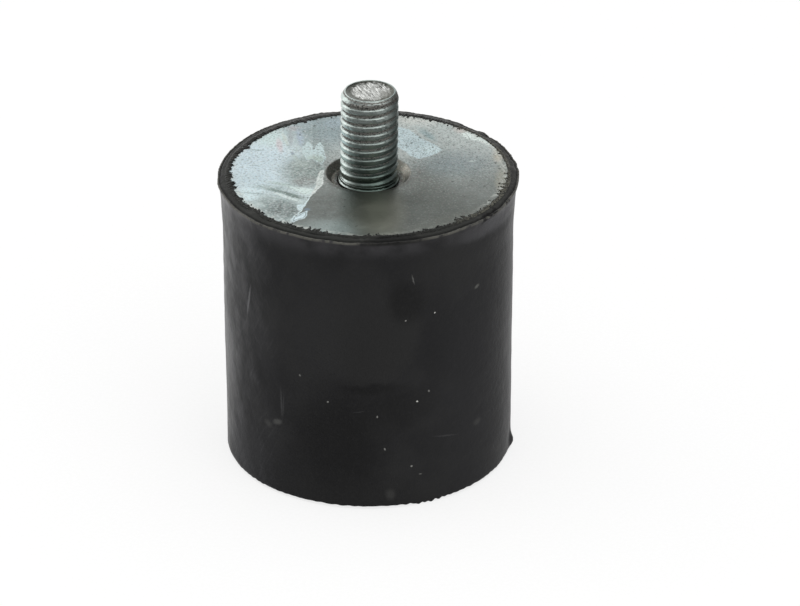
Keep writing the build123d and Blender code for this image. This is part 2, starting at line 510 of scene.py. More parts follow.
# Where the flash tore off in larger bites: turn and half width in degrees, reach inwards in mm.
BITES = ((-79.5, 1.0, 0.35), (-76.5, 0.6, 0.25), (-86.0, 0.5, 0.25), (-93.0, 0.6, 0.22), (-115.0, 1.6, 0.45),
         (-66.0, 0.8, 0.25), (-52.0, 1.0, 0.40), (-50.0, 0.5, 0.30), (-35.2, 0.45, 0.55), (-33.6, 0.35, 0.48),
         (-22.4, 1.0, 0.62), (-20.6, 0.3, 0.44), (-17.6, 0.5, 0.55), (0.3, 0.45, 0.34), (3.6, 0.6, 0.30),
         (23.6, 0.6, 0.46), (29.9, 0.5, 0.40), (40.0, 1.3, 0.88), (43.2, 1.0, 0.70), (47.0, 0.6, 0.30),
         (62.0, 0.6, 0.28), (69.5, 0.8, 0.45), (72.8, 0.7, 0.60), (76.0, 0.5, 0.50), (78.8, 0.35, 1.05),
         (84.0, 0.5, 0.30), (88.5, 0.4, 0.35))
# How far from the axis the flash leaves the plate bare: turn in degrees, radius in mm.
BARE = ((-180, 22.1), (-150, 22.05), (-130, 22.3), (-110, 22.4), (-95, 22.65), (-80, 22.75), (-65, 22.95),
        (-50, 22.85), (-40, 22.85), (-28, 22.85), (-15, 22.95), (0, 23.05), (45, 23.25), (75, 23.3),
        (110, 23.3), (130, 22.9), (150, 22.45), (180, 22.1))
FLASH_COLUMNS = 2600  # steps round the flash
FLASH_ROWS = (0.0, 0.04, 0.12, 0.28, 0.5, 0.75, 1.0)  # shares of its width, from the torn edge outwards
FLASH_LAP = 0.50  # mm, by which the flash runs on over the rim
FLASH_BED = 0.05  # mm, by which its underside lies in what it covers
LEAST_FLASH = 0.015  # mm, its least height


def furthest(turn, places, widths, reaches):
    """The furthest-reaching of many blunt bells at each turn: exp(-x^4), x being widths off a place."""
    apart = (turn[:, None] - places + 180) % 360 - 180
    return (reaches * np.exp(-((apart / widths) ** 4))).max(axis=1)


def torn_edge(angle, tear):
    """The radius that the torn flash reaches over the plate, at each angle.

    It is the table BARE, joined by straight lines, with a slow wave and many small random teeth, and is
    kept inside the plate's edge. The named bites reach further in from there.
    """
    random = np.random.default_rng(32)
    count = 300
    place = random.uniform(-180, 180, count)
    width = random.uniform(0.22, 0.75, count)
    reach = tear * random.exponential(0.75, count)
    turn = turn_from_front(angle)
    teeth = furthest(turn, place, width, reach)
    bites = furthest(turn, *np.array(BITES).T)
    slow = 0.06 * ring_noise(angle, 3, 14, 31) + 0.025 * ring_noise(angle, 60, 260, 34)
    bare = np.interp(turn, *np.array(BARE).T)
    return np.minimum(bare + slow - teeth, PLATE_RADIUS - 0.03) - bites


def shape_flash(settings):
    """The film of flash, from its torn edge outwards, and the field torn, which is 1 on the tear.

    Its height rises as the square root of the way from the torn edge, falls away smoothly over the rim
    and varies round the axis. Its underside lies a little in the plate and the rim.
    """
    angle = column_angles(FLASH_COLUMNS)
    edge = torn_edge(angle, settings.tear)
    share = np.array(FLASH_ROWS)[:, None]
    radius = edge + (PLATE_RADIUS + FLASH_LAP - edge) * share
    lift = settings.film * np.sqrt(np.clip(share * 3, 0, 1)) * (1 - ease(share, 0.4, 1.0))
    lift = lift * (1 + 0.45 * ring_noise(angle, 40, 300, 35))
    crown = np.where(radius < FACE_EDGE, FACE_LEVEL, rim_level(radius))
    level = crown + np.maximum(lift, LEAST_FLASH)
    upper = np.stack([radius * np.cos(angle), radius * np.sin(angle), level], -1)
    lower = upper.copy()
    lower[..., 2] = crown - FLASH_BED
    fresh = 1 - ease(radius - edge, 0.10, 0.26)
    grid = np.concatenate([upper[::-1], lower[:1], lower[-1:]])
    return grid, {"torn": np.concatenate([fresh[::-1], fresh[:1], fresh[-1:]])}


def shape_crumbs(settings):
    """Torn grains on the plate beside the film, most of them by the named bites."""
    random = np.random.default_rng(41)
    loose = random.uniform(-180, 180, 150)
    beside = np.repeat([bite[0] for bite in BITES], 7) + random.normal(0, 0.9, 7 * len(BITES))
    turn = np.concatenate([loose, beside])
    size = random.uniform(0.035, 0.10, len(turn))
    edge = torn_edge(np.radians(turn - 90), settings.tear)
    radius = edge - random.exponential(0.13, len(turn))
    squash = random.uniform(0.7, 1.9, len(turn))
    return grains((radius, turn), FACE_LEVEL + 0.35 * size, size, squash, 42)


class MOUNT_OT_tear_flash(bpy.types.Operator):
    """Lay the torn film of flash over the top plate's edge, and the crumbs beside it"""

    bl_idname = "mount.tear_flash"
    bl_label = "Tear flash"

    def execute(self, context):
        settings = context.scene.mount_moulding
        material = torn_rubber(context.scene.mount_finish)
        grid, fields = shape_flash(settings)
        film = make_piece("torn_flash", grid, material, ring=True, fields=fields)
        crumbs = [
            make_piece("grain", shape, material, poles=(True, True), fields={"torn": 1.0})
            for shape in shape_crumbs(settings)
        ]
        for piece in (film, join(crumbs, "flash_crumbs")):
            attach(piece, "root")
        return {"FINISHED"}


# ---- The top plate -------------------------------------------------------------------------------
# The milky film's marks on the top plate, as (x, y) outlines in millimetres.
CREASE = ((-7.3, 3.9), (-7.2, 1.7), (-7.3, -2.0), (-7.4, -4.0), (-8.5, -7.0), (-9.4, -9.0),
          (-10.3, -12.5), (-10.7, -14.0), (-12.2, -16.8), (-12.3, -18.4))
OUTLINES = {
    "film": CREASE + ((-13.5, -30.0), (-30.0, -30.0), (-30.0, 30.0), (-9.0, 30.0), (-9.0, 12.0),
                      (-9.0, 6.0), (-8.5, 4.2)),
    "flames": ((-7.9, 11.9), (-7.5, 10.4), (-7.2, 8.5), (-6.9, 5.8), (-7.1, 4.4), (-7.6, 2.6),
               (-8.0, 3.4), (-9.3, 4.9), (-10.1, 4.4), (-10.8, 7.2), (-11.0, 9.0), (-10.7, 10.1),
               (-9.9, 11.8), (-9.2, 10.2), (-9.0, 8.6), (-8.7, 10.2)),
    "fold": ((-7.2, 1.0), (-7.3, -4.0), (-8.5, -7.0), (-9.4, -9.0), (-9.6, -8.7), (-8.7, -5.4),
             (-8.3, -1.8), (-7.8, 0.8)),
    "wedge": ((-14.0, -4.5), (-11.5, -5.2), (-8.9, -6.0), (-9.3, -7.4), (-10.2, -8.3), (-12.0, -6.6)),
    "flake": ((-11.5, -11.7), (-10.0, -11.6), (-10.5, -13.0), (-11.3, -14.4)),
    "slip": ((-9.8, -13.7), (-9.8, -15.6), (-10.3, -16.8), (-11.4, -17.3), (-12.1, -18.3), (-12.4, -17.7),
             (-12.1, -16.1), (-10.7, -14.6)),
    "lens": ((4.9, 17.2), (6.8, 16.2), (8.6, 13.2), (10.9, 10.6), (11.8, 9.4), (12.3, 8.2), (11.5, 7.1),
             (10.1, 5.9), (8.3, 5.0), (6.8, 6.5), (5.9, 8.2), (5.1, 9.1), (3.6, 12.0)),
    "corner": ((15.2, 14.6), (16.7, 15.2), (18.7, 13.2), (20.6, 10.6), (21.2, 8.8), (19.9, 10.3),
               (18.2, 11.6), (16.4, 12.6)),
}
PLATE_COLUMNS = 640  # steps round the plate


def plate_profile():
    """The dished disc's section, round from the hole's lower edge and back to it.

    The dish's two bends on the face are arcs, and its underside follows them at the sheet's thickness.
    """
    wall = np.arctan2(FACE_LEVEL - PLATE_THICKNESS - DISH_UNDERSIDE, DISH_MOUTH_RADIUS - DISH_FLOOR_RADIUS)
    mitre = PLATE_THICKNESS * tan(wall / 2)
    floor = DISH_UNDERSIDE + PLATE_THICKNESS
    reach = DISH_BEND * tan(wall / 2)
    mouth_start = DISH_MOUTH_RADIUS + reach
    floor_end = DISH_FLOOR_RADIUS - reach
    turn = np.linspace(0, wall, 7)
    across, drop = DISH_BEND * np.sin(turn), DISH_BEND * (1 - np.cos(turn))
    mouth = np.stack([mouth_start - across, FACE_LEVEL - drop], -1)
    bend = np.stack([floor_end + across, floor + drop], -1)
    underside = [(COLLAR_RADIUS, DISH_UNDERSIDE), (DISH_FLOOR_RADIUS + mitre, DISH_UNDERSIDE),
                 (DISH_MOUTH_RADIUS + mitre, FACE_LEVEL - PLATE_THICKNESS),
                 (PLATE_RADIUS, FACE_LEVEL - PLATE_THICKNESS)]
    edge = [underside[-1], (PLATE_RADIUS, FACE_LEVEL - PLATE_BEVEL), (FACE_EDGE, FACE_LEVEL)]
    return np.vstack(
        [
            runs(underside, 6.0)[:-1],
            runs(edge, 0.6)[:-1],
            runs([edge[-1], (mouth_start, FACE_LEVEL)], 0.22)[:-1],
            mouth,
            bend[::-1],
            runs([(floor_end, floor), (COLLAR_RADIUS, floor)], 0.2)[1:],
        ]
    )


def shape_plate():
    """The turned section, a little uneven, and the fields that the marks on it are drawn by.

    A pressed sheet is never quite flat: long soft waves of a few hundredths of a millimetre lower the
    face. The fields are how far each point lies inside each outline, and its radius, in mm.
    """
    grid = turned(plate_profile(), PLATE_COLUMNS)
    radius = np.hypot(grid[..., 0], grid[..., 1])
    flat = ease(grid[..., 2], FACE_LEVEL - 0.05, FACE_LEVEL)
    waves = 0.010 * space_noise(grid, 14.0, 51) + 0.004 * space_noise(grid, 5.0, 52)
    grid[..., 2] -= np.abs(waves) * flat * (1 - ease(radius, PLATE_RADIUS - 1.5, PLATE_RADIUS - 0.5))
    fields = {name: outline_distance(grid[..., :2], outline) for name, outline in OUTLINES.items()}
    return grid, {**fields, "radius": radius}


class MOUNT_OT_press_top_plate(bpy.types.Operator):
    """Press the dished top plate"""

    bl_idname = "mount.press_top_plate"
    bl_label = "Press top plate"

    def execute(self, context):
        grid, fields = shape_plate()
        material = zinc_plate(context.scene.mount_finish, "zinc-plated blanked steel", marked=True)
        plate = make_piece("pressed_plate", grid, material, ring=True, fields=fields)
        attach(plate, "root")
        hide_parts("top_plate")
        return {"FINISHED"}


class MOUNT_OT_finish_base_plate(bpy.types.Operator):
    """Plate the base plate"""

    bl_idname = "mount.finish_base_plate"
    bl_label = "Finish base plate"

    def execute(self, context):
        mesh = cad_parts["base_plate"].data
        mesh.materials.clear()
        mesh.materials.append(
            zinc_plate(context.scene.mount_finish, "zinc-plated blanked steel, base", marked=False)
        )
        return {"FINISHED"}


# ---- The threads ---------------------------------------------------------------------------------
CREST_ROUNDING = 0.28  # mm of depth, over which a crest's edge is rounded
ROOT_ROUNDING = 0.22  # mm of depth, over which a root's is


def thread_depth(height, angle, crest, depth, start=0.0):
    """How far a right-hand thread's surface lies under its crest.

    The phase is the height in pitches less the share of a turn, from where the thread starts. From the
    crest's edge the flank falls at 60 degrees to the axis, and both its ends are rounded.
    """
    phase = (height / PITCH - angle / tau + start) % 1.0
    from_crest = np.abs(phase - 0.5) * PITCH
    fall = (from_crest - crest / 2) * tan(radians(60))
    rounded = smooth_max(fall, 0.0, CREST_ROUNDING)
    return depth - smooth_max(depth - rounded, 0.0, ROOT_ROUNDING)


THREAD_START = 0.31  # share of a turn by which the stud's thread is turned round
WORN = 0.15  # mm, how far the rolled crests stay inside the stud's full radius
LEAN = 0.016  # the stud leans this much to +X for each mm above its head's middle
TIP_LOSS = 0.2  # mm, by which the end was ground short
DISC_RADIUS = 3.25  # mm, of the bright middle of the cup
DISC_ASIDE = 0.25  # mm, of that middle to +X
DISC_BACK = 0.40  # mm, of that middle to +Y
FAR = 99.0  # mm from that middle, for all that isn't the cup
CUP_ASIDE = 0.25  # mm, by which the cup was pushed to +X
COLLAR_CHAMFER = 0.25  # mm, of the collar's upper edge
STUD_TOP = TIP_LEVEL - TIP_LOSS
CUP_MOUTH = TIP_RADIUS - TIP_LAND


def stud_profile():
    """The stud's section, from the middle of its head to the middle of its cupped end."""
    buried = [(0, HEAD_LEVEL), (HEAD_RADIUS - BEVEL, HEAD_LEVEL), (HEAD_RADIUS, HEAD_LEVEL + BEVEL),
              (HEAD_RADIUS, DISH_UNDERSIDE), (COLLAR_RADIUS, DISH_UNDERSIDE),
              (COLLAR_RADIUS, COLLAR_LEVEL - COLLAR_CHAMFER)]
    collar = [buried[-1], (COLLAR_RADIUS - COLLAR_CHAMFER, COLLAR_LEVEL), (STUD_RADIUS - 0.10, COLLAR_LEVEL)]
    shank = [(STUD_RADIUS, COLLAR_LEVEL), (STUD_RADIUS, STUD_TOP - TIP_HEIGHT),
             (TIP_RADIUS + 0.05, STUD_TOP - 0.08)]
    end = [shank[-1], (TIP_RADIUS - 0.03, STUD_TOP), (CUP_MOUTH, STUD_TOP - 0.01),
           (CUP_MOUTH - 0.10, STUD_TOP - 0.10), (CUP_RADIUS, STUD_TOP - CUP_DEPTH), (0, STUD_TOP - CUP_DEPTH)]
    return np.vstack(
        [runs(buried, 9.0)[:-1], runs(collar, 0.05)[:-1], runs(shank, 0.045)[:-1], runs(end, 0.09)]
    )


def shape_stud(settings):
    """The turned section with its thread, its worn crests and its torn cup, leaning a little to +X.

    The thread runs out towards the collar. The chamfer trims its crests, so what the chamfer has
    already taken off isn't cut again. The field groove is 0 on the crests and 1 in the roots and in the
    grime and painted shade at the chamfer's foot and head; disc is the distance in mm from the middle of
    the bright disc in the cup; end is 1 in the cup.
    """
    profile = stud_profile()
    grid = turned(profile, settings.columns)
    angle = column_angles(settings.columns)
    radius, height = profile[:, 0, None], profile[:, 1, None]
    on_shank = (height >= COLLAR_LEVEL) & (radius > TIP_RADIUS) & (radius <= STUD_RADIUS)
    run_out = 0.35 + 0.65 * ease(height, COLLAR_LEVEL + 0.2, COLLAR_LEVEL + 2.6)
    groove = thread_depth(height, angle, settings.crest, settings.depth, THREAD_START) * run_out
    cut = WORN + groove + 0.05 * (1 - run_out)
    trimmed = np.maximum(cut - (STUD_RADIUS - radius), 0)
    worn = 0.010 * space_noise(grid, 0.8, 61) + 0.012 * space_noise(grid, 2.5, 62)
    push_out(grid, -(trimmed + worn) * on_shank)
    # The cup's floor is torn in ridges.
    inside = 1 - ease(radius, CUP_RADIUS - 0.1, CUP_MOUTH)
    in_cup = (height > STUD_TOP - CUP_DEPTH - 0.01) & (radius < CUP_MOUTH)
    grid[..., 0] += CUP_ASIDE * inside * in_cup * ease(radius, 0.0, 1.0)
    ridges = 0.03 * space_noise(grid * np.array([3.0, 0.6, 1.0]), 1.2, 63)
    grid[..., 2] += ridges * in_cup * inside
    from_disc = np.hypot(grid[..., 0] - DISC_ASIDE, grid[..., 1] - DISC_BACK)
    # Grime and painted shade lie at the chamfer's foot and head, all round, but weaker at the left, where the
    # light falls.
    less_at_lit_left = 1 - 0.8 * bell(turn_from_front(angle), -80, 45)
    grime_and_shade = bell(height, STUD_TOP - 0.80, 0.34) + bell(height, STUD_TOP - 0.24, 0.11)
    on_chamfer = grime_and_shade * (radius > TIP_RADIUS) * less_at_lit_left
    fields = {
        "groove": np.clip(groove * on_shank / settings.depth + on_chamfer, 0, 1),
        "disc": np.where(in_cup, from_disc, FAR),
        "end": in_cup,
    }
    grid[..., 0] += LEAN * np.maximum(height - (HEAD_LEVEL + DISH_UNDERSIDE) / 2, 0)
    return grid, fields


class MOUNT_OT_roll_stud(bpy.types.Operator):
    """Roll the stud's thread and cup its end"""

    bl_idname = "mount.roll_stud"
    bl_label = "Roll stud"

    def execute(self, context):
        grid, fields = shape_stud(context.scene.mount_thread)
        material = zinc_thread(context.scene.mount_finish)
        stud = make_piece("rolled_stud", grid, material, poles=(True, True), fields=fields)
        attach(stud, "root")
        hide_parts("threaded_stud")
        return {"FINISHED"}


BUSH_COLUMNS = 168  # steps round the bush
NUT_DEPTH = 0.72  # mm, from crest to root of the bush's thread
NUT_CREST = 0.19  # mm, the crest's width


def bush_profile():
    """The bush's section, from the tip of the drill's point down the bore and up the outside."""
    entry_level = BUSH_FACE + BORE_ENTRY_RADIUS - BORE_RADIUS
    point = [(0, BORE_END + DRILL_POINT_HEIGHT), (BORE_RADIUS, BORE_END)]
    bore = [(BORE_RADIUS, BORE_END), (BORE_RADIUS, entry_level), (BORE_ENTRY_RADIUS, BUSH_FACE)]
    outside = [(BORE_ENTRY_RADIUS, BUSH_FACE), (SPIGOT_RADIUS, BUSH_FACE), (SPIGOT_RADIUS, PLATE_THICKNESS),
               (BUSH_RADIUS, PLATE_THICKNESS), (BUSH_RADIUS, BUSH_TOP - BEVEL),
               (BUSH_RADIUS - BEVEL, BUSH_TOP), (0, BUSH_TOP)]
    return np.vstack([runs(point, 1.0)[:-1], runs(bore, 0.06)[:-1], runs(outside, 4.0)])


def shape_bush():
    """The turned section with a thread cut into its bore, and the field groove, 1 in the roots.

    The thread's crests lie at the bore's radius. It fades out before the bore's end, and it isn't cut
    where the entry's chamfer has already taken the steel off.
    """
    profile = bush_profile()
    grid = turned(profile, BUSH_COLUMNS)
    radius, height = profile[:, 0, None], profile[:, 1, None]
    in_bore = (radius < BORE_ENTRY_RADIUS) & (height < BORE_END - 0.4) & (height > BUSH_FACE)
    groove = NUT_DEPTH - thread_depth(height, column_angles(BUSH_COLUMNS), NUT_CREST, NUT_DEPTH)
    taper = 1 - ease(height, BORE_END - 1.8, BORE_END - 0.5)
    outward = np.maximum(groove * taper - (radius - BORE_RADIUS), 0) * in_bore
    push_out(grid, outward)
    return grid, {"groove": np.clip(outward / NUT_DEPTH, 0, 1)}


class MOUNT_OT_tap_bush(bpy.types.Operator):
    """Turn the bush and tap its bore"""

    bl_idname = "mount.tap_bush"
    bl_label = "Tap bush"

    def execute(self, context):
        grid, fields = shape_bush()
        material = turned_bush(context.scene.mount_finish)
        bush = make_piece("tapped_bush", grid, material, poles=(True, True), fields=fields)
        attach(bush, "root")
        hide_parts("threaded_bush")
        return {"FINISHED"}


# ---- Materials -----------------------------------------------------------------------------------
def put(tree, kind, settings=None, links=None):
    """Adds a node; settings are its properties and sockets, and links are what its sockets take."""
    node = tree.nodes.new("ShaderNode" + kind)
    held = {}
    for key, value in (settings or {}).items():
        if isinstance(key, str) and hasattr(node, key):
            setattr(node, key, value)
        else:
            held[key] = value
    sockets = {socket.name: socket for socket in reversed(node.inputs) if socket.enabled}
    for key, value in held.items():
        socket = node.inputs[key] if isinstance(key, int) else sockets[key]
        socket.default_value = (*value, 1.0) if socket.type == "RGBA" else value
    for key, source in (links or {}).items():
        socket = node.inputs[key] if isinstance(key, int) else sockets[key]
        if isinstance(source, bpy.types.Node):
            source = next(output for output in source.outputs if output.enabled)
        tree.links.new(source, socket)
    return node


def span(low, high, start=0.0, end=1.0):
    """The settings of a smooth change from start to end, as a value goes from low to high."""
    limits = {"From Min": low, "From Max": high, "To Min": start, "To Max": end}
    return {"interpolation_type": "SMOOTHSTEP", **limits}


def begin(name):
    """An empty node material, its tree, and the place in it."""
    material = bpy.data.materials.new(name)
    material.use_nodes = True
    material.node_tree.nodes.clear()
    return material, material.node_tree, put(material.node_tree, "TexCoord").outputs["Object"]


def finish_with(tree, settings, links):
    """The Principled shader and the output."""
    shader = put(tree, "BsdfPrincipled", settings, links)
    put(tree, "OutputMaterial", links={"Surface": shader})


def patches(tree, place, size, low, high, strength=1.0, stretch=(1, 1, 1), turn=(0, 0, 0), detail=3.0):
    """A mask of noise patches about a size in mm, stretched along turned axes, cut between two levels."""
    scale = tuple(size * MM * s for s in stretch)
    settings = {"vector_type": "TEXTURE", "Scale": scale, "Rotation": tuple(radians(t) for t in turn)}
    mapped = put(tree, "Mapping", settings, {"Vector": place})
    noise = put(tree, "TexNoise", {"Scale": 1.0, "Detail": detail, "Roughness": 0.55}, {"Vector": mapped})
    return put(tree, "MapRange", span(low, high, 0.0, strength), {"Value": noise})


def oval(tree, place, centre, half, turn=0.0, soft=0.5, strength=1.0):
    """A mask of one soft oval: its centre and half sizes in mm, turned by degrees."""
    settings = {
        "vector_type": "TEXTURE",
        "Location": (centre[0] * MM, centre[1] * MM, 0),
        "Rotation": (0, 0, radians(turn)),
        "Scale": (half[0] * MM, half[1] * MM, 1),
    }
    mapped = put(tree, "Mapping", settings, {"Vector": place})
    length = put(tree, "VectorMath", {"operation": "LENGTH"}, {0: mapped}).outputs["Value"]
    return put(tree, "MapRange", span(1 - soft, 1 + soft, strength, 0.0), {"Value": length})


def streak(tree, place, start, end, width, soft=0.5, strength=1.0):
    """A mask of one streak between two (x, y) points in mm: an oval as long as their distance."""
    along = np.array(end) - np.array(start)
    half = (float(np.hypot(*along)) / 2, width / 2)
    centre = ((start[0] + end[0]) / 2, (start[1] + end[1]) / 2)
    return oval(tree, place, centre, half, float(np.degrees(np.arctan2(along[1], along[0]))), soft, strength)


def drawn(tree, outline, wobble, low, high, strength=1.0):
    """A mask of a drawn outline: its distance, shaken by a wobble, cut between two levels in mm."""
    distance = put(tree, "Attribute", {"attribute_name": outline}).outputs["Fac"]
    shaken_distance = put(tree, "Math", {"operation": "ADD"}, {0: distance, 1: wobble})
    return put(tree, "MapRange", span(low, high, 0.0, strength), {"Value": shaken_distance})


def specks(tree, place, spacing, size, share, strength=1.0, space="3D"):
    """A mask of round specks of a size in mm, in a share of the cells that are a spacing apart."""
    settings = {"voronoi_dimensions": space, "Scale": 1 / (spacing * MM)}
    cells = put(tree, "TexVoronoi", settings, {"Vector": place})
    dot = span(0.35 * size / spacing, 0.6 * size / spacing, strength, 0.0)
    dot = put(tree, "MapRange", dot, {"Value": cells.outputs["Distance"]})
    chance = put(tree, "SeparateColor", links={"Color": cells.outputs["Color"]})
    chosen = put(tree, "MapRange", span(1 - share, 1.02 - share), {"Value": chance})
    return put(tree, "Math", {"operation": "MULTIPLY"}, {0: dot, 1: chosen})


def both(tree, *masks):
    """Where every one of the masks holds: their product."""
    product = masks[0]
    for mask in masks[1:]:
        product = put(tree, "Math", {"operation": "MULTIPLY"}, {0: product, 1: mask})
    return product


def coat(tree, ground, layers):
    """A ground tone under layers, each a mask and the tone that it lays.

    Layers that are made as they are laid leave the shader fewer masks to hold at once.
    """
    colour = put(tree, "RGB")
    colour.outputs["Color"].default_value = (*colour_of(ground), 1.0)
    for mask, tone in layers:
        settings = {"data_type": "RGBA", "B": colour_of(tone)}
        colour = put(tree, "Mix", settings, {"A": colour, "Factor": mask})
    return colour


def relief(tree, *layers):
    """Bumps on bumps: each layer is a height, a strength, and how far in mm the height reaches."""
    normal = None
    for height, strength, reach in layers:
        links = {"Height": height, "Normal": normal} if normal else {"Height": height}
        normal = put(tree, "Bump", {"Strength": strength, "Distance": reach * MM}, links)
    return normal


def shaken(tree, place, size, reach):
    """The place, moved about by noise of a size and a reach in mm, so that what is drawn is ragged."""
    noise = put(tree, "TexNoise", {"Scale": 1 / (size * MM), "Detail": 3.0}, {"Vector": place})
    grey = {"operation": "SUBTRACT", 1: (0.5, 0.5, 0.5)}
    centred = put(tree, "VectorMath", grey, {0: noise.outputs["Color"]})
    moved = put(tree, "VectorMath", {"operation": "SCALE", 3: 2 * reach * MM}, {0: centred})
    return put(tree, "VectorMath", {"operation": "ADD"}, {0: place, 1: moved})


def unrolled(tree, place):
    """The flank laid flat: X is the arc from the front, and Y is the height."""
    parts = put(tree, "SeparateXYZ", links={"Vector": place})
    front = put(tree, "Math", {"operation": "MULTIPLY", 1: -1.0}, {0: parts.outputs["Y"]})
    angle = put(tree, "Math", {"operation": "ARCTAN2"}, {0: parts.outputs["X"], 1: front})
    arc = put(tree, "Math", {"operation": "MULTIPLY", 1: WAIST_RADIUS * MM}, {0: angle})
    return put(tree, "CombineXYZ", links={"X": arc, "Y": parts.outputs["Z"]})


# Tones on the flank: turn from the front in degrees, level, half width and half height in mm, tilt in
# degrees, softness, colour, strength.
FLANK_TONES = (
    (-1, 32.0, 9.2, 8.6, 0, 0.16, "#1f1f1f", 0.85),
    (-3, 41.5, 4.0, 5.0, 0, 0.35, "#1f1f20", 0.8),
    (-21, 32.0, 4.8, 12.0, 0, 0.6, "#232324", 0.7),
    (36, 42.5, 7.5, 5.0, 0, 0.5, "#1f1f1f", 0.7),
    (-5, 2.5, 13.0, 3.0, 0, 0.5, "#1c1c1c", 0.6),
    (15, 38.0, 3.0, 3.6, 20, 0.5, "#0d0d0e", 0.8),
    (-12, 12.5, 7.0, 9.0, 0, 0.6, "#0c0c0d", 0.7),
    (0, 22.4, 4.5, 0.9, 0, 0.6, "#0c0c0d", 0.7),
    (14, 18.5, 5.0, 3.6, 0, 0.6, "#0e0e0f", 0.6),
    (28, 31.0, 3.0, 9.0, 0, 0.6, "#131316", 0.7),
    (46, 22.0, 6.0, 16.0, 0, 0.6, "#19191c", 0.7),
    (-64, 5.5, 5.5, 5.5, 0, 0.6, "#2c2c2f", 0.7),
    # Partly painted sheen: the paler band under the lip at the right, towards its edge.
    (62, 47.4, 9.0, 1.5, 0, 0.5, "#47474a", 0.75),
)
# Thin or small pale marks there, ragged at their edges.
FLANK_MARKS = (
    (-55, 33.5, 0.22, 2.7, -12, 0.5, "#5a5a5c", 0.8),
    (-37, 17.5, 0.16, 2.4, 2, 0.5, "#3a3a3b", 0.7),
    (-36, 17.0, 0.10, 2.0, -3, 0.5, "#3a3a3b", 0.6),
    (-39, 13.6, 0.9, 0.45, 20, 0.6, "#4a4a48", 0.7),
    (-44, 12.6, 0.8, 0.5, -15, 0.7, "#3c3c3a", 0.6),
    (17.5, 42.0, 0.12, 0.8, 15, 0.5, "#5a5a58", 0.7),
    (32, 11.8, 2.2, 0.10, -12, 0.5, "#38383a", 0.7),
    (47.5, 37.3, 0.5, 0.3, 20, 0.6, "#5a5a56", 0.7),
    (48.5, 12.0, 0.8, 0.5, 0, 0.7, "#3a3a38", 0.6),
    (8.5, 2.6, 0.7, 0.9, 10, 0.7, "#3a3a38", 0.6),
    (-4, 18.2, 0.9, 0.08, 8, 0.5, "#2e2e2e", 0.8),
    (19.3, 19.5, 0.16, 0.16, 0, 0.4, "#b9b9b4", 1.0),
    (24.3, 21.0, 0.18, 0.18, 0, 0.5, "#6a6a66", 0.9),
    (26.7, 35.2, 0.13, 0.13, 0, 0.4, "#b0b0ac", 1.0),
    (14.5, 34.7, 0.14, 0.12, 0, 0.5, "#8a8a86", 0.9),
    (-16.2, 19.7, 0.14, 0.14, 0, 0.5, "#7a7a76", 0.9),
    (3.3, 17.3, 0.12, 0.2, 0, 0.5, "#7a7a76", 0.9),
    (6.2, 11.2, 0.12, 0.22, 20, 0.5, "#7a7a76", 0.8),
    (17.0, 7.5, 0.15, 0.15, 0, 0.5, "#8a8a86", 0.9),
    (20.8, 5.8, 0.3, 0.10, 0, 0.5, "#6a6a66", 0.8),
    (-28.0, 23.6, 0.16, 0.16, 0, 0.5, "#6a6a66", 0.8),
)
# Where the lip tore as it was trimmed, in the same way.
LIP_TEARS = (
    (50.0, 49.25, 1.0, 0.4, 25, 0.4, "#060606", 0.95),
    (53.5, 49.5, 0.7, 0.25, -10, 0.4, "#060606", 0.95),
    (57.0, 49.5, 0.8, 0.2, 15, 0.4, "#060606", 0.95),
    (66.0, 48.9, 0.25, 0.6, -20, 0.4, "#060606", 0.95),
    (69.0, 49.0, 0.2, 0.5, 15, 0.4, "#060606", 0.95),
)


def marks_on_flank(tree, place, table):
    """Ovals on the flank laid flat, from a table's rows, each with its tone."""
    for turn, level, wide, high, tilt, soft, tone, strength in table:
        centre = (radians(turn) * WAIST_RADIUS, level)
        yield oval(tree, place, centre, (wide, high), tilt, soft, strength), tone


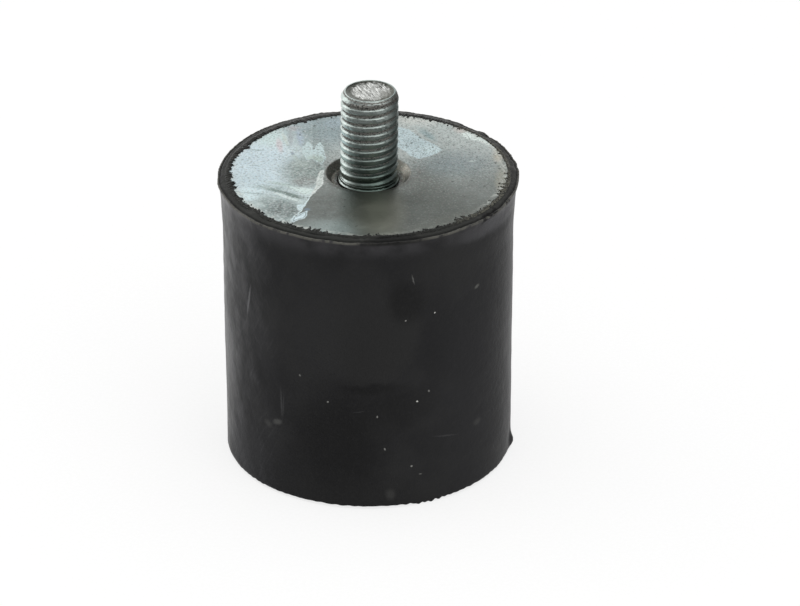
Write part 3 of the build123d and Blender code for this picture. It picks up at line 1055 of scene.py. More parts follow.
def moulded_rubber(finish):
    """Natural rubber, compression moulded: matt black, with a grey bloom in soft patches.

    The bloom makes it look dusty. Handling leaves slanted scuff marks, which catch the light at the sides;
    they and a haziness at the left are painted paler at the sides only, partly as painted sheen. The rim
    was trimmed, so it is browner and rough; it is darker by the plate, with painted shade in the groove
    and a painted highlight along the lip.
    """
    material, tree, place = begin("moulded natural rubber")
    flat = unrolled(tree, place)
    parts = put(tree, "SeparateXYZ", links={"Vector": place})
    left = put(tree, "MapRange", span(-13 * MM, -21.6 * MM), {"Value": parts.outputs["X"]})
    # The hazy patching and the scuff marks lie only at the left side: partly real, partly painted sheen.
    haze_and_sheen = patches(tree, flat, 5.0, 0.35, 0.65, 0.8, stretch=(1, 1.8, 1), turn=(0, 0, 20))
    haze_and_sheen = both(tree, left, haze_and_sheen)
    rising = patches(tree, flat, 0.45, 0.48, 0.78, 0.45, stretch=(10, 1, 1), turn=(0, 0, 62))
    scuffs_and_sheen = both(tree, haze_and_sheen, rising)
    rim = put(tree, "Attribute", {"attribute_name": "rim"}).outputs["Fac"]
    on_rim = put(tree, "MapRange", span(0.0, 0.04), {"Value": rim})
    torn = shaken(tree, flat, 0.5, 0.16)
    layers = [
        *flank_layers(tree, place, flat, torn, parts, haze_and_sheen, scuffs_and_sheen, finish),
        *rim_layers(tree, place, parts, rim, on_rim, finish),
        *marks_on_flank(tree, torn, LIP_TEARS),
    ]
    colour = coat(tree, finish.rubber, layers)
    # The mould's matt texture is finer than this, and is drawn coarser so that it shows.
    normal = relief(
        tree,
        (patches(tree, place, 0.22, 0.2, 0.8), 0.16, 0.06),
        (patches(tree, place, 1.1, 0.2, 0.8), 0.22, 0.12),
        (scuffs_and_sheen, 0.20, 0.10),
    )
    rough = put(tree, "MapRange", span(0.0, 0.8, 0.62, 0.50), {"Value": haze_and_sheen})
    trimmed = put(tree, "Math", {"operation": "MULTIPLY", 1: 0.8}, {0: on_rim})
    rough = put(tree, "Math", {"operation": "MAXIMUM"}, {0: rough, 1: trimmed})
    settings = {"Specular IOR Level": 0.45, "Sheen Weight": 0.3, "Sheen Roughness": 0.3}
    finish_with(tree, settings, {"Base Color": colour, "Roughness": rough, "Normal": normal})
    return material


def flank_layers(tree, place, flat, torn, parts, haze_and_sheen, scuffs_and_sheen, finish):
    """The bloom and the tones on the flank, its haziness and scuff marks at the sides with painted sheen, and
    its small marks.
    """
    ragged = shaken(tree, flat, 2.2, 0.9)
    right = put(tree, "MapRange", span(17.5 * MM, 21.6 * MM), {"Value": parts.outputs["X"]})
    falling = patches(tree, flat, 0.40, 0.52, 0.78, 0.4, stretch=(9, 1, 1), turn=(0, 0, -50))
    under_lip = put(tree, "MapRange", span(45.5 * MM, 48.5 * MM), {"Value": parts.outputs["Z"]})
    yield patches(tree, place, 9.0, 0.42, 0.75, 0.5), finish.bloom
    yield from marks_on_flank(tree, ragged, FLANK_TONES)
    # Painted sheen, partly: paler haziness and scuff marks at the left, and slanted paler patches at the
    # right.
    yield haze_and_sheen, "#2c2c2f"
    yield scuffs_and_sheen, "#5a5a5d"
    yield both(tree, right, falling), "#3a3a3d"
    yield both(tree, under_lip, patches(tree, place, 6.0, 0.3, 0.6, 0.8)), "#353437"
    yield patches(tree, place, 0.5, 0.45, 0.8, 0.25), finish.bloom
    yield from marks_on_flank(tree, torn, FLANK_MARKS)
    yield specks(tree, place, 1.9, 0.09, 0.05, 0.7), "#5a5a57"


def rim_layers(tree, place, parts, rim, on_rim, finish):
    """The trimmed rim: mottled, dark by the plate, with painted shade in the groove, a painted highlight
    along the lip, and a darker arc in front.
    """
    by_plate = put(tree, "MapRange", span(0.86, 0.98), {"Value": rim})
    groove_shade = both(
        tree,
        put(tree, "MapRange", span(0.06, 0.15), {"Value": rim}),
        put(tree, "MapRange", span(0.22, 0.33, 1.0, 0.0), {"Value": rim}),
    )
    lip = put(tree, "Attribute", {"attribute_name": "lip"}).outputs["Fac"]
    at_top = span((FIN_LEVEL - 0.8) * MM, (FIN_LEVEL - 0.3) * MM)
    at_top = put(tree, "MapRange", at_top, {"Value": parts.outputs["Z"]})
    yield on_rim, finish.rim
    yield both(tree, on_rim, patches(tree, place, 1.4, 0.5, 0.72, 0.6)), "#383935"
    yield both(tree, by_plate, patches(tree, place, 0.7, 0.25, 0.5, 0.5)), "#121211"
    # Painted shade in the groove.
    yield both(tree, groove_shade, patches(tree, place, 2.0, 0.3, 0.5, 0.75)), "#0c0c0b"
    # Painted highlight along the lip's fin.
    yield both(tree, lip, patches(tree, place, 0.9, 0.32, 0.55, 0.85, stretch=(1, 1, 2))), "#57564f"
    yield both(tree, at_top, dark_front(tree, place)), "#0a0a09"


def dark_front(tree, place):
    """A mask of the rim's darker arc at the front."""
    return oval(tree, place, (4.0, -23.8), (5.2, 1.0), 10, 0.4, 0.9)


def torn_rubber(finish):
    """Torn flash of the same rubber: a dull film, black where it broke, thin and mottled at the right."""
    material, tree, place = begin("torn rubber flash")
    torn = put(tree, "Attribute", {"attribute_name": "torn"}).outputs["Fac"]
    aside = put(tree, "SeparateXYZ", links={"Vector": place}).outputs["X"]
    thin = put(tree, "MapRange", span(12 * MM, 18 * MM), {"Value": aside})
    layers = [
        (patches(tree, place, 1.4, 0.5, 0.72, 0.6), "#383935"),
        (dark_front(tree, place), "#0c0c0b"),
        (both(tree, torn, patches(tree, place, 1.3, 0.36, 0.52, 0.9)), "#0b0b0b"),
        (both(tree, thin, patches(tree, place, 0.4, 0.40, 0.58, 0.85)), "#5a594f"),
    ]
    colour = coat(tree, finish.rim, layers)
    normal = relief(tree, (patches(tree, place, 0.2, 0.2, 0.8), 0.6, 0.08))
    settings = {"Roughness": 0.8, "Specular IOR Level": 0.35, "Sheen Weight": 0.25, "Sheen Roughness": 0.3}
    finish_with(tree, settings, {"Base Color": colour, "Normal": normal})
    return material


# Tones on the top plate: centre and half sizes in mm, turn in degrees, softness, colour, strength.
PLATE_TONES = (
    # The first row darkens the front at the right: painted shade.
    ((9.0, -13.5), (7.5, 8.5), 0, 0.6, "#4d524d", 0.8),
    ((11.0, 1.5), (3.0, 3.5), 0, 0.8, "#5f6967", 0.65),
    ((-5.0, -20.5), (5.5, 3.2), -8, 0.7, "#94a19f", 0.85),
    ((8.6, -3.0), (3.4, 4.6), 10, 0.7, "#555954", 0.65),
    ((14.5, 3.5), (4.5, 4.0), 0, 0.8, "#7d8b8f", 0.7),
    ((21.6, 6.7), (0.9, 2.8), 0, 0.6, "#b9b5a6", 0.8),
    ((21.9, -3.0), (1.0, 5.5), 0, 0.6, "#a19f90", 0.6),
    ((9.9, 14.2), (0.8, 2.4), 28, 0.6, "#8fa6a9", 0.8),
    ((15.8, 16.2), (1.2, 1.6), 30, 0.7, "#cbbfb8", 0.6),
    ((17.0, 4.0), (0.7, 0.22), 0, 0.4, "#b9c5c2", 0.8),
    ((8.0, 20.2), (4.5, 2.2), 0, 0.7, "#d3d6d0", 0.7),
)
FILM_TONES = (
    ((-17.6, 3.0), (5.6, 9.5), -4, 0.5, "#d0e2ea", 0.95),
    ((-18.9, -2.9), (2.6, 2.2), 0, 0.6, "#c6d9e0", 0.8),
    ((-16.3, 13.5), (2.4, 3.6), 15, 0.5, "#cde2e1", 0.85),
    ((-15.2, -12.6), (5.6, 3.2), -34, 0.45, "#8b9a99", 0.9),
    ((-13.6, -13.4), (2.7, 2.7), -20, 0.6, "#5c6766", 0.8),
    ((-14.5, -16.9), (3.2, 1.1), -40, 0.5, "#8f9c9b", 0.8),
    ((-18.5, -11.4), (1.8, 1.0), -30, 0.6, "#b6c5c4", 0.8),
    ((-18.6, -12.9), (1.6, 0.5), -42, 0.6, "#ccc7c3", 0.7),
    ((-10.0, 0.5), (4.0, 5.0), 0, 0.6, "#7f8d89", 0.95),
    ((-10.3, -3.2), (2.0, 1.9), 0, 0.5, "#878c8a", 0.9),
    ((-10.9, 3.2), (1.5, 1.0), 0, 0.6, "#a7b4af", 0.7),
    ((-19.2, -6.3), (1.9, 0.8), -5, 0.5, "#d5e9ee", 0.8),
    ((-19.6, -8.8), (1.8, 1.4), -10, 0.5, "#d8ecf0", 0.85),
    ((-16.0, -5.4), (2.6, 0.9), -8, 0.6, "#a2b5b4", 0.8),
)
# What lies over the film and the plate alike, at the upper left.
UPPER_TONES = (
    ((-7.6, 16.5), (5.0, 7.0), 0, 0.6, "#94a5a9", 0.95),
    ((-8.6, 8.0), (2.2, 5.0), 0, 0.5, "#8f9b99", 0.7),
    ((-9.2, 15.6), (0.9, 1.8), 0, 0.7, "#8d9b9b", 0.7),
    ((-5.5, 18.8), (1.4, 1.8), 0, 0.7, "#a9bac2", 0.8),
    ((-12.3, 16.7), (0.9, 1.0), 0, 0.7, "#b8afb3", 0.6),
    ((-11.1, 14.9), (0.35, 0.5), 0, 0.5, "#7f8d90", 0.6),
)
# Streaks on the film: from and to in mm, width in mm, softness, colour, strength.
FILM_STREAKS = (
    ((-20.5, -7.2), (-16.7, -7.9), 0.35, 0.6, "#96a8ab", 0.8),
    ((-16.6, -5.8), (-13.6, -7.3), 1.0, 0.6, "#7a8c88", 0.85),
    ((-14.2, -7.0), (-10.9, -9.2), 1.1, 0.6, "#6c7e79", 0.9),
    ((-13.0, -8.2), (-11.0, -9.5), 0.45, 0.7, "#6a7b74", 0.9),
    ((-15.3, -7.3), (-13.0, -9.1), 0.55, 0.6, "#dceae7", 0.9),
    ((-13.5, -8.8), (-11.0, -10.5), 0.7, 0.6, "#dceae7", 0.9),
    ((-16.4, -8.8), (-12.0, -10.5), 0.35, 0.6, "#a0b1ae", 0.8),
    ((-16.4, -3.3), (-12.4, -4.9), 0.9, 0.7, "#b7c9c5", 0.8),
    ((-11.6, 16.2), (-11.0, 10.2), 1.0, 0.6, "#a8b8c6", 0.85),
    ((-12.9, 15.6), (-12.8, 10.2), 1.0, 0.6, "#a5aeb2", 0.8),
    ((-14.2, 14.8), (-13.3, 10.3), 0.7, 0.6, "#cad6d0", 0.85),
    ((-14.9, 12.8), (-14.4, 7.8), 0.95, 0.6, "#d2c8cc", 0.8),
    ((-19.8, 8.6), (-17.1, 8.4), 0.32, 0.5, "#98aaab", 0.9),
    ((-12.5, 7.9), (-12.4, 6.4), 0.5, 0.5, "#8b99a5", 0.9),
    ((-11.8, 9.3), (-11.8, 7.5), 0.35, 0.6, "#bccbc9", 0.8),
    ((-12.3, 6.6), (-11.6, 4.3), 0.8, 0.7, "#b8c8c3", 0.7),
    ((-19.1, 3.0), (-18.0, 2.7), 0.4, 0.6, "#9badb0", 0.7),
    ((-18.1, 4.3), (-17.5, 4.3), 0.35, 0.6, "#e8f0f0", 0.8),
    ((-8.3, 2.4), (-7.8, 2.9), 0.8, 0.7, "#5a625e", 0.7),
    ((-7.8, 3.3), (-7.4, 3.5), 0.3, 0.6, "#59615d", 0.8),
)
# Single dark specks on the top plate.
PLATE_SPECKS = ((17.0, -3.2), (13.8, -3.4), (18.9, -5.2), (21.0, 3.3), (21.6, 1.2), (10.0, 17.5),
                (1.5, -16.2), (-1.9, -19.4), (8.6, 13.2), (7.2, 11.0), (6.3, 10.2), (10.8, 9.4),
                (9.3, 8.4), (-3.8, -10.0), (-3.9, -12.4), (15.6, -9.0), (12.3, -7.0), (18.4, 8.3),
                (-6.0, 16.5), (-9.0, 17.6), (-10.5, -8.9), (-9.8, -9.3), (-11.4, 14.2), (-10.7, 15.4))
SPECK_RADIUS = 0.2


def zinc_plate(finish, name, marked):
    """Bright zinc on blanked mild steel, passivated clear: a pale blue-grey metal with a fine grain.

    The sheet's grain breaks its gloss into a soft sheen. Where release agent and rubber's bloom were
    wiped, milky patches with hard edges stay on it. The real grain is finer than a tenth of a
    millimetre, and is drawn at a third of one so that it shows.
    """
    material, tree, place = begin(name)
    mottle = patches(tree, place, 1.6, 0.35, 0.75, detail=4.0)
    colour = coat(tree, finish.plate, plate_layers(tree, place, mottle, finish, marked))
    fine = patches(tree, place, 0.34, 0.45, 0.8, 0.5, detail=2.0)
    normal = relief(tree, (fine, 0.25, 0.02), (mottle, 0.30, 0.05))
    rough = put(tree, "MapRange", span(0.0, 1.0, 0.34, 0.42), {"Value": patches(tree, place, 7.0, 0.35, 0.7)})
    finish_with(tree, {"Metallic": 1.0}, {"Base Color": colour, "Roughness": rough, "Normal": normal})
    return material


def plate_layers(tree, place, mottle, finish, marked):
    """The zinc's own variation, and on the marked plate a painted darkening towards the front and what lies
    on it.
    """
    back = put(tree, "SeparateXYZ", links={"Vector": place}).outputs["Y"]
    # Painted shade and reflection: the marked plate is darker towards the front.
    if marked:
        yield put(tree, "MapRange", span(16 * MM, -12 * MM), {"Value": back}), "#6a6f6b"
    yield put(tree, "Math", {"operation": "MULTIPLY", 1: 0.30}, {0: mottle}), "#8b9391"
    yield patches(tree, place, 0.8, 0.60, 0.75, 0.3), "#6f7676"
    if marked:
        yield from marks_on_plate(tree, place, back, finish)
    # Weathered zinc is faintly green in some grains and pink in others, and worn smooth at the front.
    worn = put(tree, "MapRange", span(-14 * MM, 3 * MM, 0.35, 0.9), {"Value": back})
    film = put(tree, "Attribute", {"attribute_name": "film"}).outputs["Fac"]
    on_film = put(tree, "MapRange", span(0, 0.3), {"Value": film})
    grain = put(tree, "Math", {"operation": "MAXIMUM"}, {0: worn, 1: on_film})
    pale = both(tree, grain, put(tree, "MapRange", span(0, 0.3, 0.5, 1.0), {"Value": film}))
    for size, low, high, strength, turn, where, tone in (
        (0.30, 0.46, 0.66, 0.14, (0, 0, 0), grain, "#7fa58b"),
        (0.34, 0.46, 0.66, 0.14, (40, 60, 0), grain, "#c0a3a2"),
        (0.40, 0.50, 0.68, 0.42, (0, 30, 50), grain, "#5d6663"),
        (0.34, 0.52, 0.70, 0.42, (70, 0, 20), pale, "#e6f0ee"),
    ):
        flecks = patches(tree, place, size, low, high, strength, detail=2.0, turn=turn)
        yield both(tree, where, flecks), tone
    off_film = put(tree, "MapRange", span(0, 0.3, 1.0, 0.25), {"Value": film})
    yield both(tree, off_film, specks(tree, place, 1.3, 0.19, 0.4, 0.65, "2D")), "#4c5250"
    dashes = patches(tree, place, 0.22, 0.56, 0.66, 0.6, stretch=(1, 2.5, 1), turn=(0, 0, 35), detail=1.0)
    yield both(tree, off_film, worn, dashes), "#4f5654"
    if marked:
        # At the front, before the stud, the plate is painted a paler olive-brown: painted light against the
        # shade of the stud's reflection there.
        yield oval(tree, place, (1.4, -15.0), (3.3, 9.0), 0, 0.8, 0.85), "#a6a799"


def marks_on_plate(tree, place, back, finish):
    """The tones, the milky film, the bare patches, what lies by the edges, painted shade and light in front
    and in the dish, and specks.
    """
    soft_place = shaken(tree, place, 3.0, 0.7)
    torn_place = shaken(tree, place, 0.7, 0.22)
    noise = put(tree, "TexNoise", {"Scale": 1 / (1.1 * MM), "Detail": 3.0}, {"Vector": place})
    wobble = put(tree, "Math", {"operation": "MULTIPLY_ADD", 1: 0.7, 2: -0.35}, {0: noise})
    radius = put(tree, "Attribute", {"attribute_name": "radius"}).outputs["Fac"]
    for *where, tone, strength in PLATE_TONES:
        yield oval(tree, soft_place, *where, strength), tone
    yield from film_layers(tree, place, soft_place, torn_place, wobble, finish)
    yield from lens_layers(tree, place, wobble)
    yield from edge_layers(tree, place, back, radius, noise)
    yield from dish_layers(tree, place, radius)
    yield from speck_layers(tree, torn_place)


def film_layers(tree, place, soft_place, torn_place, wobble, finish):
    """The milky film with its tones, streaks and crease, the flames on it, and its folds and flakes."""
    film = drawn(tree, "film", wobble, -0.05, 0.2)
    yield film, finish.film
    for *where, tone, strength in FILM_TONES:
        yield both(tree, film, oval(tree, soft_place, *where, strength)), tone
    yield both(tree, film, patches(tree, place, 0.6, 0.38, 0.66, 0.3)), "#dce8e8"
    yield drawn(tree, "wedge", wobble, -0.15, 0.25, 0.9), "#d8e9e5"
    for *where, tone, strength in UPPER_TONES:
        yield oval(tree, soft_place, *where, strength), tone
    for *where, tone, strength in FILM_STREAKS:
        yield streak(tree, torn_place, *where, strength), tone
    along_edge = drawn(tree, "film", wobble, 0.32, 0.18)
    yield both(tree, film, along_edge, oval(tree, place, (-10.4, -12.5), (2.8, 6.5))), "#e8f8f9"
    yield drawn(tree, "flames", wobble, -0.05, 0.2), "#c4d7d8"
    inside_flames = drawn(tree, "flames", wobble, 0.1, 0.5)
    yield both(tree, inside_flames, oval(tree, place, (-8.6, 4.4), (2.0, 2.0))), "#b7c8c1"
    yield drawn(tree, "fold", wobble, -0.12, 0.18), "#dde4e0"
    yield drawn(tree, "fold", wobble, 0.22, 0.34, 0.5), "#b4c0bc"
    yield drawn(tree, "flake", wobble, -0.1, 0.15), "#d6e8ec"
    yield oval(tree, torn_place, (-9.9, -13.4), (0.45, 0.5), 0, 0.5, 0.8), "#7f909c"
    yield drawn(tree, "slip", wobble, -0.1, 0.15), "#dcedf2"
    inner_line = (drawn(tree, "slip", wobble, 0.15, 0.22), drawn(tree, "slip", wobble, 0.42, 0.30))
    yield both(tree, *inner_line), "#95a5a8"


def lens_layers(tree, place, wobble):
    """The two pale patches at the back right: the lens, specked, and the corner by the flash."""
    lens = drawn(tree, "lens", wobble, -0.15, 0.2, 0.95)
    yield lens, "#bfd1d5"
    yield both(tree, lens, oval(tree, place, (10.6, 8.6), (1.8, 1.8))), "#cddfe1"
    yield both(tree, lens, specks(tree, place, 0.75, 0.22, 0.6, 0.8, "2D")), "#6f7f85"
    yield drawn(tree, "corner", wobble, -0.3, 0.4), "#dfeae6"


def edge_layers(tree, place, back, radius, noise):
    """The broken ring right of the dish, the pale fringe by the flash, a darker band by the front right edge,
    and painted shade in front, at the plate's edge and before the dish.
    """
    ring = both(
        tree,
        put(tree, "MapRange", span(8.0, 8.35), {"Value": radius}),
        put(tree, "MapRange", span(8.9, 8.55), {"Value": radius}),
        put(tree, "MapRange", span(0.45, 0.6), {"Value": noise}),
        oval(tree, place, (8.4, 0.0), (2.6, 6.0), 0, 0.5, 0.8),
    )
    yield ring, "#666661"
    fringe = put(tree, "MapRange", span(21.6, 22.5), {"Value": radius})
    yield both(tree, fringe, patches(tree, place, 0.9, 0.42, 0.6, 0.6)), "#ccd0ca"
    yield oval(tree, place, (12.3, -18.3), (10.5, 2.3), 33, 0.4, 0.8), "#5e625c"
    # Painted shade in front: on the plate's outermost edge and before the dish's mouth.
    outermost = put(tree, "MapRange", span(22.84, 22.90, 0.0, 0.9), {"Value": radius})
    front = put(tree, "MapRange", span(-10 * MM, -14 * MM), {"Value": back})
    yield both(tree, outermost, front), "#34352f"
    by_mouth = put(tree, "MapRange", span(8.0, 7.3, 0.0, 0.6), {"Value": radius})
    before_dish = put(tree, "MapRange", span(-1 * MM, -4 * MM), {"Value": back})
    yield both(tree, by_mouth, before_dish), "#3c3c37"


def dish_layers(tree, place, radius):
    """Painted shade in the dish: darker inside its mouth, on its floor and at the front right, and black by
    the stud's collar, partly oil; painted light on its right wall and inside at the left back.
    """
    yield put(tree, "MapRange", span(7.3, 6.8, 0.0, 0.9), {"Value": radius}), "#625f56"
    in_dish = put(tree, "MapRange", span(7.1, 6.85), {"Value": radius})
    yield both(tree, in_dish, oval(tree, place, (6.6, 1.0), (1.2, 2.4))), "#9a968c"
    yield put(tree, "MapRange", span(6.2, 5.95, 0.0, 0.9), {"Value": radius}), "#4d4a41"
    yield both(tree, in_dish, oval(tree, place, (4.6, -4.8), (3.6, 3.4), 0, 0.5, 0.95)), "#25241f"
    yield both(tree, in_dish, oval(tree, place, (-6.3, 2.2), (0.9, 1.8), -20, 0.5, 0.8)), "#6f6d64"
    yield put(tree, "MapRange", span(5.75, 5.4, 0.0, 0.95), {"Value": radius}), "#141310"


def speck_layers(tree, torn_place):
    """The single dark specks, each a soft spot about its place in the plate's plane."""
    flat_place = put(tree, "VectorMath", {"operation": "MULTIPLY", 1: (1, 1, 0)}, {0: torn_place})
    dot = span(1.4 * SPECK_RADIUS * MM, 0.6 * SPECK_RADIUS * MM, 0.0, 0.85)
    for x, y in PLATE_SPECKS:
        from_speck = {"operation": "DISTANCE", 1: (x * MM, y * MM, 0)}
        beside = put(tree, "VectorMath", from_speck, {0: flat_place}).outputs["Value"]
        yield put(tree, "MapRange", dot, {"Value": beside}), "#3d4240"


def zinc_thread(finish):
    """Bright zinc on a rolled thread: burnished crests, grime and duller zinc in the roots; painted shade low
    on the front, at the right, on the collar and in the cup, with a painted highlight in its middle.
    """
    material, tree, place = begin("zinc-plated rolled thread")
    groove = put(tree, "Attribute", {"attribute_name": "groove"}).outputs["Fac"]
    from_disc = put(tree, "Attribute", {"attribute_name": "disc"}).outputs["Fac"]
    end = put(tree, "Attribute", {"attribute_name": "end"}).outputs["Fac"]
    mottle = patches(tree, place, 0.5, 0.3, 0.7, detail=4.0)
    parts = put(tree, "SeparateXYZ", links={"Vector": place})
    height = parts.outputs["Z"]
    # Grime fills the roots, and further up the stud it climbs the flanks too.
    further_up = span((FACE_LEVEL + 2) * MM, (FACE_LEVEL + 9) * MM, 0.0, 0.35)
    climb = put(tree, "MapRange", further_up, {"Value": height})
    deep = put(tree, "Math", {"operation": "MULTIPLY_ADD", 1: 0.30}, {0: mottle, 2: groove})
    deep = put(tree, "Math", {"operation": "ADD"}, {0: deep, 1: climb})
    grime = put(tree, "MapRange", span(0.85, 1.12), {"Value": deep})
    grit = put(tree, "MapRange", span(0.70, 1.0), {"Value": deep})
    # Painted shade: the plating is darker low on the front and at the right, and the grime is darker at the
    # right.
    forward = {"operation": "DOT_PRODUCT", 1: (0.35, -0.94, 0)}
    facing = put(tree, "VectorMath", forward, {0: place}).outputs["Value"]
    front_low_shade = both(
        tree,
        put(tree, "MapRange", span(1.2 * MM, 4.4 * MM), {"Value": facing}),
        put(tree, "MapRange", span((FACE_LEVEL + 12) * MM, FACE_LEVEL * MM, 0.0, 0.92), {"Value": height}),
    )
    shaded = put(tree, "MapRange", span(2.8 * MM, 4.8 * MM, 0.0, 0.85), {"Value": parts.outputs["X"]})
    # Painted shade on the collar's side, under its chamfer.
    on_collar = span((COLLAR_LEVEL - 0.1) * MM, (COLLAR_LEVEL - 0.2) * MM)
    collar = put(tree, "MapRange", on_collar, {"Value": height})
    edge_of_disc = put(tree, "Math", {"operation": "MULTIPLY_ADD", 1: 0.5}, {0: mottle, 2: from_disc})
    disc = put(tree, "MapRange", span(DISC_RADIUS + 0.35, DISC_RADIUS - 0.1), {"Value": edge_of_disc})
    turn = (0, 0, 24)
    ridges = patches(tree, place, 0.26, 0.40, 0.62, stretch=(1, 7, 1), turn=turn)
    scratches = patches(tree, place, 0.22, 0.52, 0.66, 0.9, stretch=(1, 9, 1), turn=turn)
    layers = [
        (put(tree, "Math", {"operation": "MULTIPLY", 1: 0.35}, {0: mottle}), "#8f9f9a"),
        (front_low_shade, "#65766f"),
        (shaded, "#6b7875"),
        (grime, finish.grime),
        (both(tree, grime, shaded), "#37352f"),
        (both(tree, grit, patches(tree, place, 0.24, 0.50, 0.60, 0.9, detail=2.0)), "#161715"),
        # The cup is painted darker, and its middle disc, set aside to +X, paler with bright ridges: partly
        # the ground end, partly painted shade and highlight.
        (end, "#5c5e58"),
        (disc, "#a9aba7"),
        (both(tree, disc, ridges), "#eef0ed"),
        (both(tree, disc, scratches), "#4a4b46"),
        (both(tree, end, oval(tree, place, (3.9, -1.7), (2.1, 2.7), 0, 0.5, 0.75)), "#63645c"),
        (collar, "#23221f"),
    ]
    colour = coat(tree, finish.stud, layers)
    normal = relief(tree, (mottle, 0.25, 0.03), (both(tree, disc, ridges), 0.5, 0.06))
    rough = put(tree, "MapRange", span(0.1, 0.8, 0.26, 0.45), {"Value": groove})
    bare = put(tree, "Math", {"operation": "SUBTRACT", 0: 1.0}, {1: grime})
    finish_with(tree, {}, {"Base Color": colour, "Metallic": bare, "Roughness": rough, "Normal": normal})
    return material


def turned_bush(finish):
    """Bright zinc on free-cutting steel, turned: fine rings from the tool on its face."""
    material, tree, place = begin("zinc-plated turned steel")
    groove = put(tree, "Attribute", {"attribute_name": "groove"}).outputs["Fac"]
    settings = {"wave_type": "RINGS", "rings_direction": "Z", "Scale": 1 / (1.2 * MM)}
    rings = put(tree, "TexWave", settings, {"Vector": place})
    # Painted shade in the thread's roots.
    groove_shade = put(tree, "MapRange", span(0.35, 0.95), {"Value": groove})
    layers = [(patches(tree, place, 0.6, 0.35, 0.75), "#7c8885"), (groove_shade, "#31342f")]
    colour = coat(tree, finish.stud, layers)
    normal = relief(tree, (rings, 0.25, 0.02))
    finish_with(tree, {"Metallic": 1.0, "Roughness": 0.33}, {"Base Color": colour, "Normal": normal})
    return material


BACKDROP_LEVEL = 1.07  # of the room behind at the left, where 1 is white


def room_level(tree, direction, stage):
    """How bright the room is in a direction, as gloss sees it.

    It is a little over white behind at the left, dim in front, overhead and at the right, and a pale
    card lights the front right. Each is a smooth step in the cosine between the direction and its own.
    """
    level = put(tree, "Value")
    level.outputs["Value"].default_value = stage.shade
    for towards, low, high, step in (
        ((-0.42, 0.91, 0), 0.38, 0.8, BACKDROP_LEVEL - stage.shade),
        ((0.92, -0.4, 0), 0.6, 1.0, stage.card),
    ):
        settings = {"operation": "DOT_PRODUCT", 1: towards}
        cosine = put(tree, "VectorMath", settings, {0: direction}).outputs["Value"]
        rise = put(tree, "MapRange", span(low, high, 0.0, step), {"Value": cosine})
        level = put(tree, "Math", {"operation": "ADD"}, {0: level, 1: rise})
    return level


def floor_paper(stage):
    """Matt white paper: it shows the mount's shadow, and is white where the light is even.

    Gloss sees it as bright as the room is on that side, and brighter close behind the mount at the right.
    """
    material, tree, place = begin("matt white paper")
    colour = coat(tree, "#fafaf9", [(patches(tree, place, 0.6, 0.4, 0.6), "#ffffff")])
    paper = put(tree, "BsdfDiffuse", links={"Color": colour})
    white = put(tree, "Emission", {"Strength": 1.0})
    outwards = put(tree, "VectorMath", {"operation": "NORMALIZE"}, {0: place})
    backwards = {"operation": "DOT_PRODUCT", 1: (0.45, 0.89, 0)}
    behind = put(tree, "VectorMath", backwards, {0: outwards}).outputs["Value"]
    away = put(tree, "VectorMath", {"operation": "LENGTH"}, {0: place}).outputs["Value"]
    pool = both(
        tree,
        put(tree, "MapRange", span(0.5, 1.0, 0.0, 0.35), {"Value": behind}),
        put(tree, "MapRange", span(130 * MM, 80 * MM), {"Value": away}),
    )
    level = put(tree, "Math", {"operation": "ADD"}, {0: room_level(tree, outwards, stage), 1: pool})
    fading = put(tree, "Emission", links={"Strength": level})
    rays = put(tree, "LightPath")
    lit = put(tree, "MixShader", {"Fac": 0.75}, {1: paper, 2: white})
    seen = put(tree, "MixShader", links={"Fac": rays.outputs["Is Camera Ray"], 1: paper, 2: lit})
    surface = put(tree, "MixShader", links={"Fac": rays.outputs["Is Glossy Ray"], 1: seen, 2: fading})
    put(tree, "OutputMaterial", links={"Surface": surface})
    return material


# ---- The stage -----------------------------------------------------------------------------------
FRAME_WIDTH = 800  # pixels, with the height of 606 below
FRAME_HEIGHT = 606
PIXELS_PER_MM = 6.018  # at the mount's middle
MIDDLE_PIXEL = (368.5, 307.27)  # where the mount's middle falls in the frame
MIDDLE_LEVEL = 25.0  # mm, of that middle


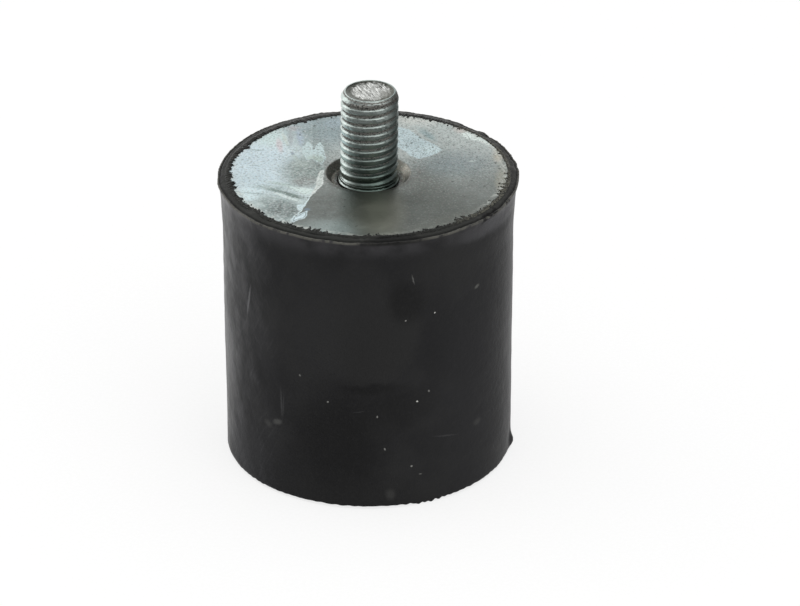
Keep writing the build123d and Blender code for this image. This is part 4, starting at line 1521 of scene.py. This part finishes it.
class MOUNT_OT_set_stage(bpy.types.Operator):
    """Lay the floor, hang the lights and set the camera"""

    bl_idname = "mount.set_stage"
    bl_label = "Set stage"

    def execute(self, context):
        settings = context.scene.mount_stage
        context.scene.view_settings.view_transform = "Standard"
        self.lay_floor(settings)
        self.hang_lights(settings)
        self.light_world(context.scene, settings)
        self.set_camera(context.scene, settings)
        return {"FINISHED"}

    def lay_floor(self, settings):
        """A round floor, one fan of rings, with its middle under the mount."""
        rings = np.array([(3000.0, 0.0), (400.0, 0.0), (60.0, 0.0), (0.0, 0.0)])
        floor = make_piece("floor", turned(rings, 96), floor_paper(settings), poles=(False, True))
        floor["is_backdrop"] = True

    def hang_lights(self, settings):
        """Three softboxes: the key at the left, a weak one in front at the right, and one overhead."""
        middle = Vector((0, 0, 0.04))  # metres; a little under the top plate
        for name, power, size, place in (
            ("key_softbox", settings.key, 0.7, (-0.61, 0.22, 0.38)),
            ("fill_softbox", settings.fill, 0.5, (0.40, -0.50, 0.45)),
            ("top_softbox", settings.top, 0.9, (0.05, -0.15, 0.78)),
        ):
            light = bpy.data.lights.new(name, "AREA")
            light.energy = power
            light.size = size
            lamp = bpy.data.objects.new(name, light)
            lamp.location = place
            lamp.rotation_euler = (middle - Vector(place)).to_track_quat("-Z", "Y").to_euler()
            bpy.context.scene.collection.objects.link(lamp)

    def light_world(self, scene, settings):
        """White all round for what is seen straight, and an even light below that.

        By reflection the room is as bright as room_level says.
        """
        world = bpy.data.worlds.new("studio")
        world.use_nodes = True
        tree = world.node_tree
        tree.nodes.clear()
        rays = put(tree, "LightPath")
        room = room_level(tree, put(tree, "TexCoord").outputs["Generated"], settings)
        light = put(tree, "Background", {"Color": (1, 1, 1), "Strength": settings.sky})
        white = put(tree, "Background", {"Color": (1, 1, 1), "Strength": 1.0})
        mirrored = put(tree, "Background", {"Color": (1, 1, 1)}, {"Strength": room})
        straight = put(tree, "Math", {"operation": "MAXIMUM"},
                       {0: rays.outputs["Is Camera Ray"], 1: rays.outputs["Is Transmission Ray"]})
        lit = put(tree, "MixShader", links={"Fac": rays.outputs["Is Glossy Ray"], 1: light, 2: mirrored})
        surface = put(tree, "MixShader", links={"Fac": straight, 1: lit, 2: white})
        put(tree, "OutputWorld", links={"Surface": surface})
        scene.world = world

    def set_camera(self, scene, settings):
        """A long lens that looks down at the mount, aimed a little off it, as the frame has it."""
        lens = bpy.data.cameras.new("camera")
        lens.sensor_width = 36.0
        lens.lens = PIXELS_PER_MM * settings.distance / MM * lens.sensor_width / FRAME_WIDTH
        lens.clip_start = 0.01
        camera = bpy.data.objects.new("camera", lens)
        up = Vector((0, sin(settings.elevation), cos(settings.elevation)))
        back = Vector((0, -cos(settings.elevation), sin(settings.elevation)))
        middle = Vector((0, 0, MIDDLE_LEVEL * MM))
        aside = (FRAME_WIDTH / 2 - MIDDLE_PIXEL[0]) / PIXELS_PER_MM * MM
        above = (MIDDLE_PIXEL[1] - FRAME_HEIGHT / 2) / PIXELS_PER_MM * MM
        aim = middle + Vector((aside, 0, 0)) + up * above
        camera.location = middle + back * settings.distance
        camera.rotation_euler = (aim - camera.location).to_track_quat("-Z", "Y").to_euler()
        scene.collection.objects.link(camera)
        scene.camera = camera


# ---- The panel, and the order of work ------------------------------------------------------------
STEPS = (
    MOUNT_OT_set_stage,
    MOUNT_OT_mould_rubber,
    MOUNT_OT_tear_flash,
    MOUNT_OT_press_top_plate,
    MOUNT_OT_finish_base_plate,
    MOUNT_OT_roll_stud,
    MOUNT_OT_tap_bush,
)
SETTINGS = {
    "mount_moulding": MouldingSettings,
    "mount_thread": ThreadSettings,
    "mount_finish": FinishSettings,
    "mount_stage": StageSettings,
}


class MOUNT_PT_panel(bpy.types.Panel):
    """The mount's settings and steps"""

    bl_idname = "MOUNT_PT_panel"
    bl_label = "Bobbin mount"
    bl_space_type = "VIEW_3D"
    bl_region_type = "UI"
    bl_category = "Mount"

    def draw(self, context):
        for name, group in SETTINGS.items():
            box = self.layout.box()
            box.label(text=group.__doc__)
            for setting in group.__annotations__:
                box.prop(getattr(context.scene, name), setting)
        for step in STEPS:
            self.layout.operator(step.bl_idname)


def register():
    for name, group in SETTINGS.items():
        bpy.utils.register_class(group)
        setattr(bpy.types.Scene, name, PointerProperty(type=group))
    for step in STEPS:
        bpy.utils.register_class(step)
    bpy.utils.register_class(MOUNT_PT_panel)


def unregister():
    bpy.utils.unregister_class(MOUNT_PT_panel)
    for step in reversed(STEPS):
        bpy.utils.unregister_class(step)
    for name, group in SETTINGS.items():
        delattr(bpy.types.Scene, name)
        bpy.utils.unregister_class(group)


def main():
    """Registers the add-on, takes the steps in order, and works out the two boxes."""
    register()
    for step in STEPS:
        space, name = step.bl_idname.split(".")
        getattr(getattr(bpy.ops, space), name)()
    boxes = {"cad": CAD_BOX, "visual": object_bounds()}
    boxes = {name: [[float(x) for x in corner] for corner in box] for name, box in boxes.items()}


if __name__ == "__main__":
    main()
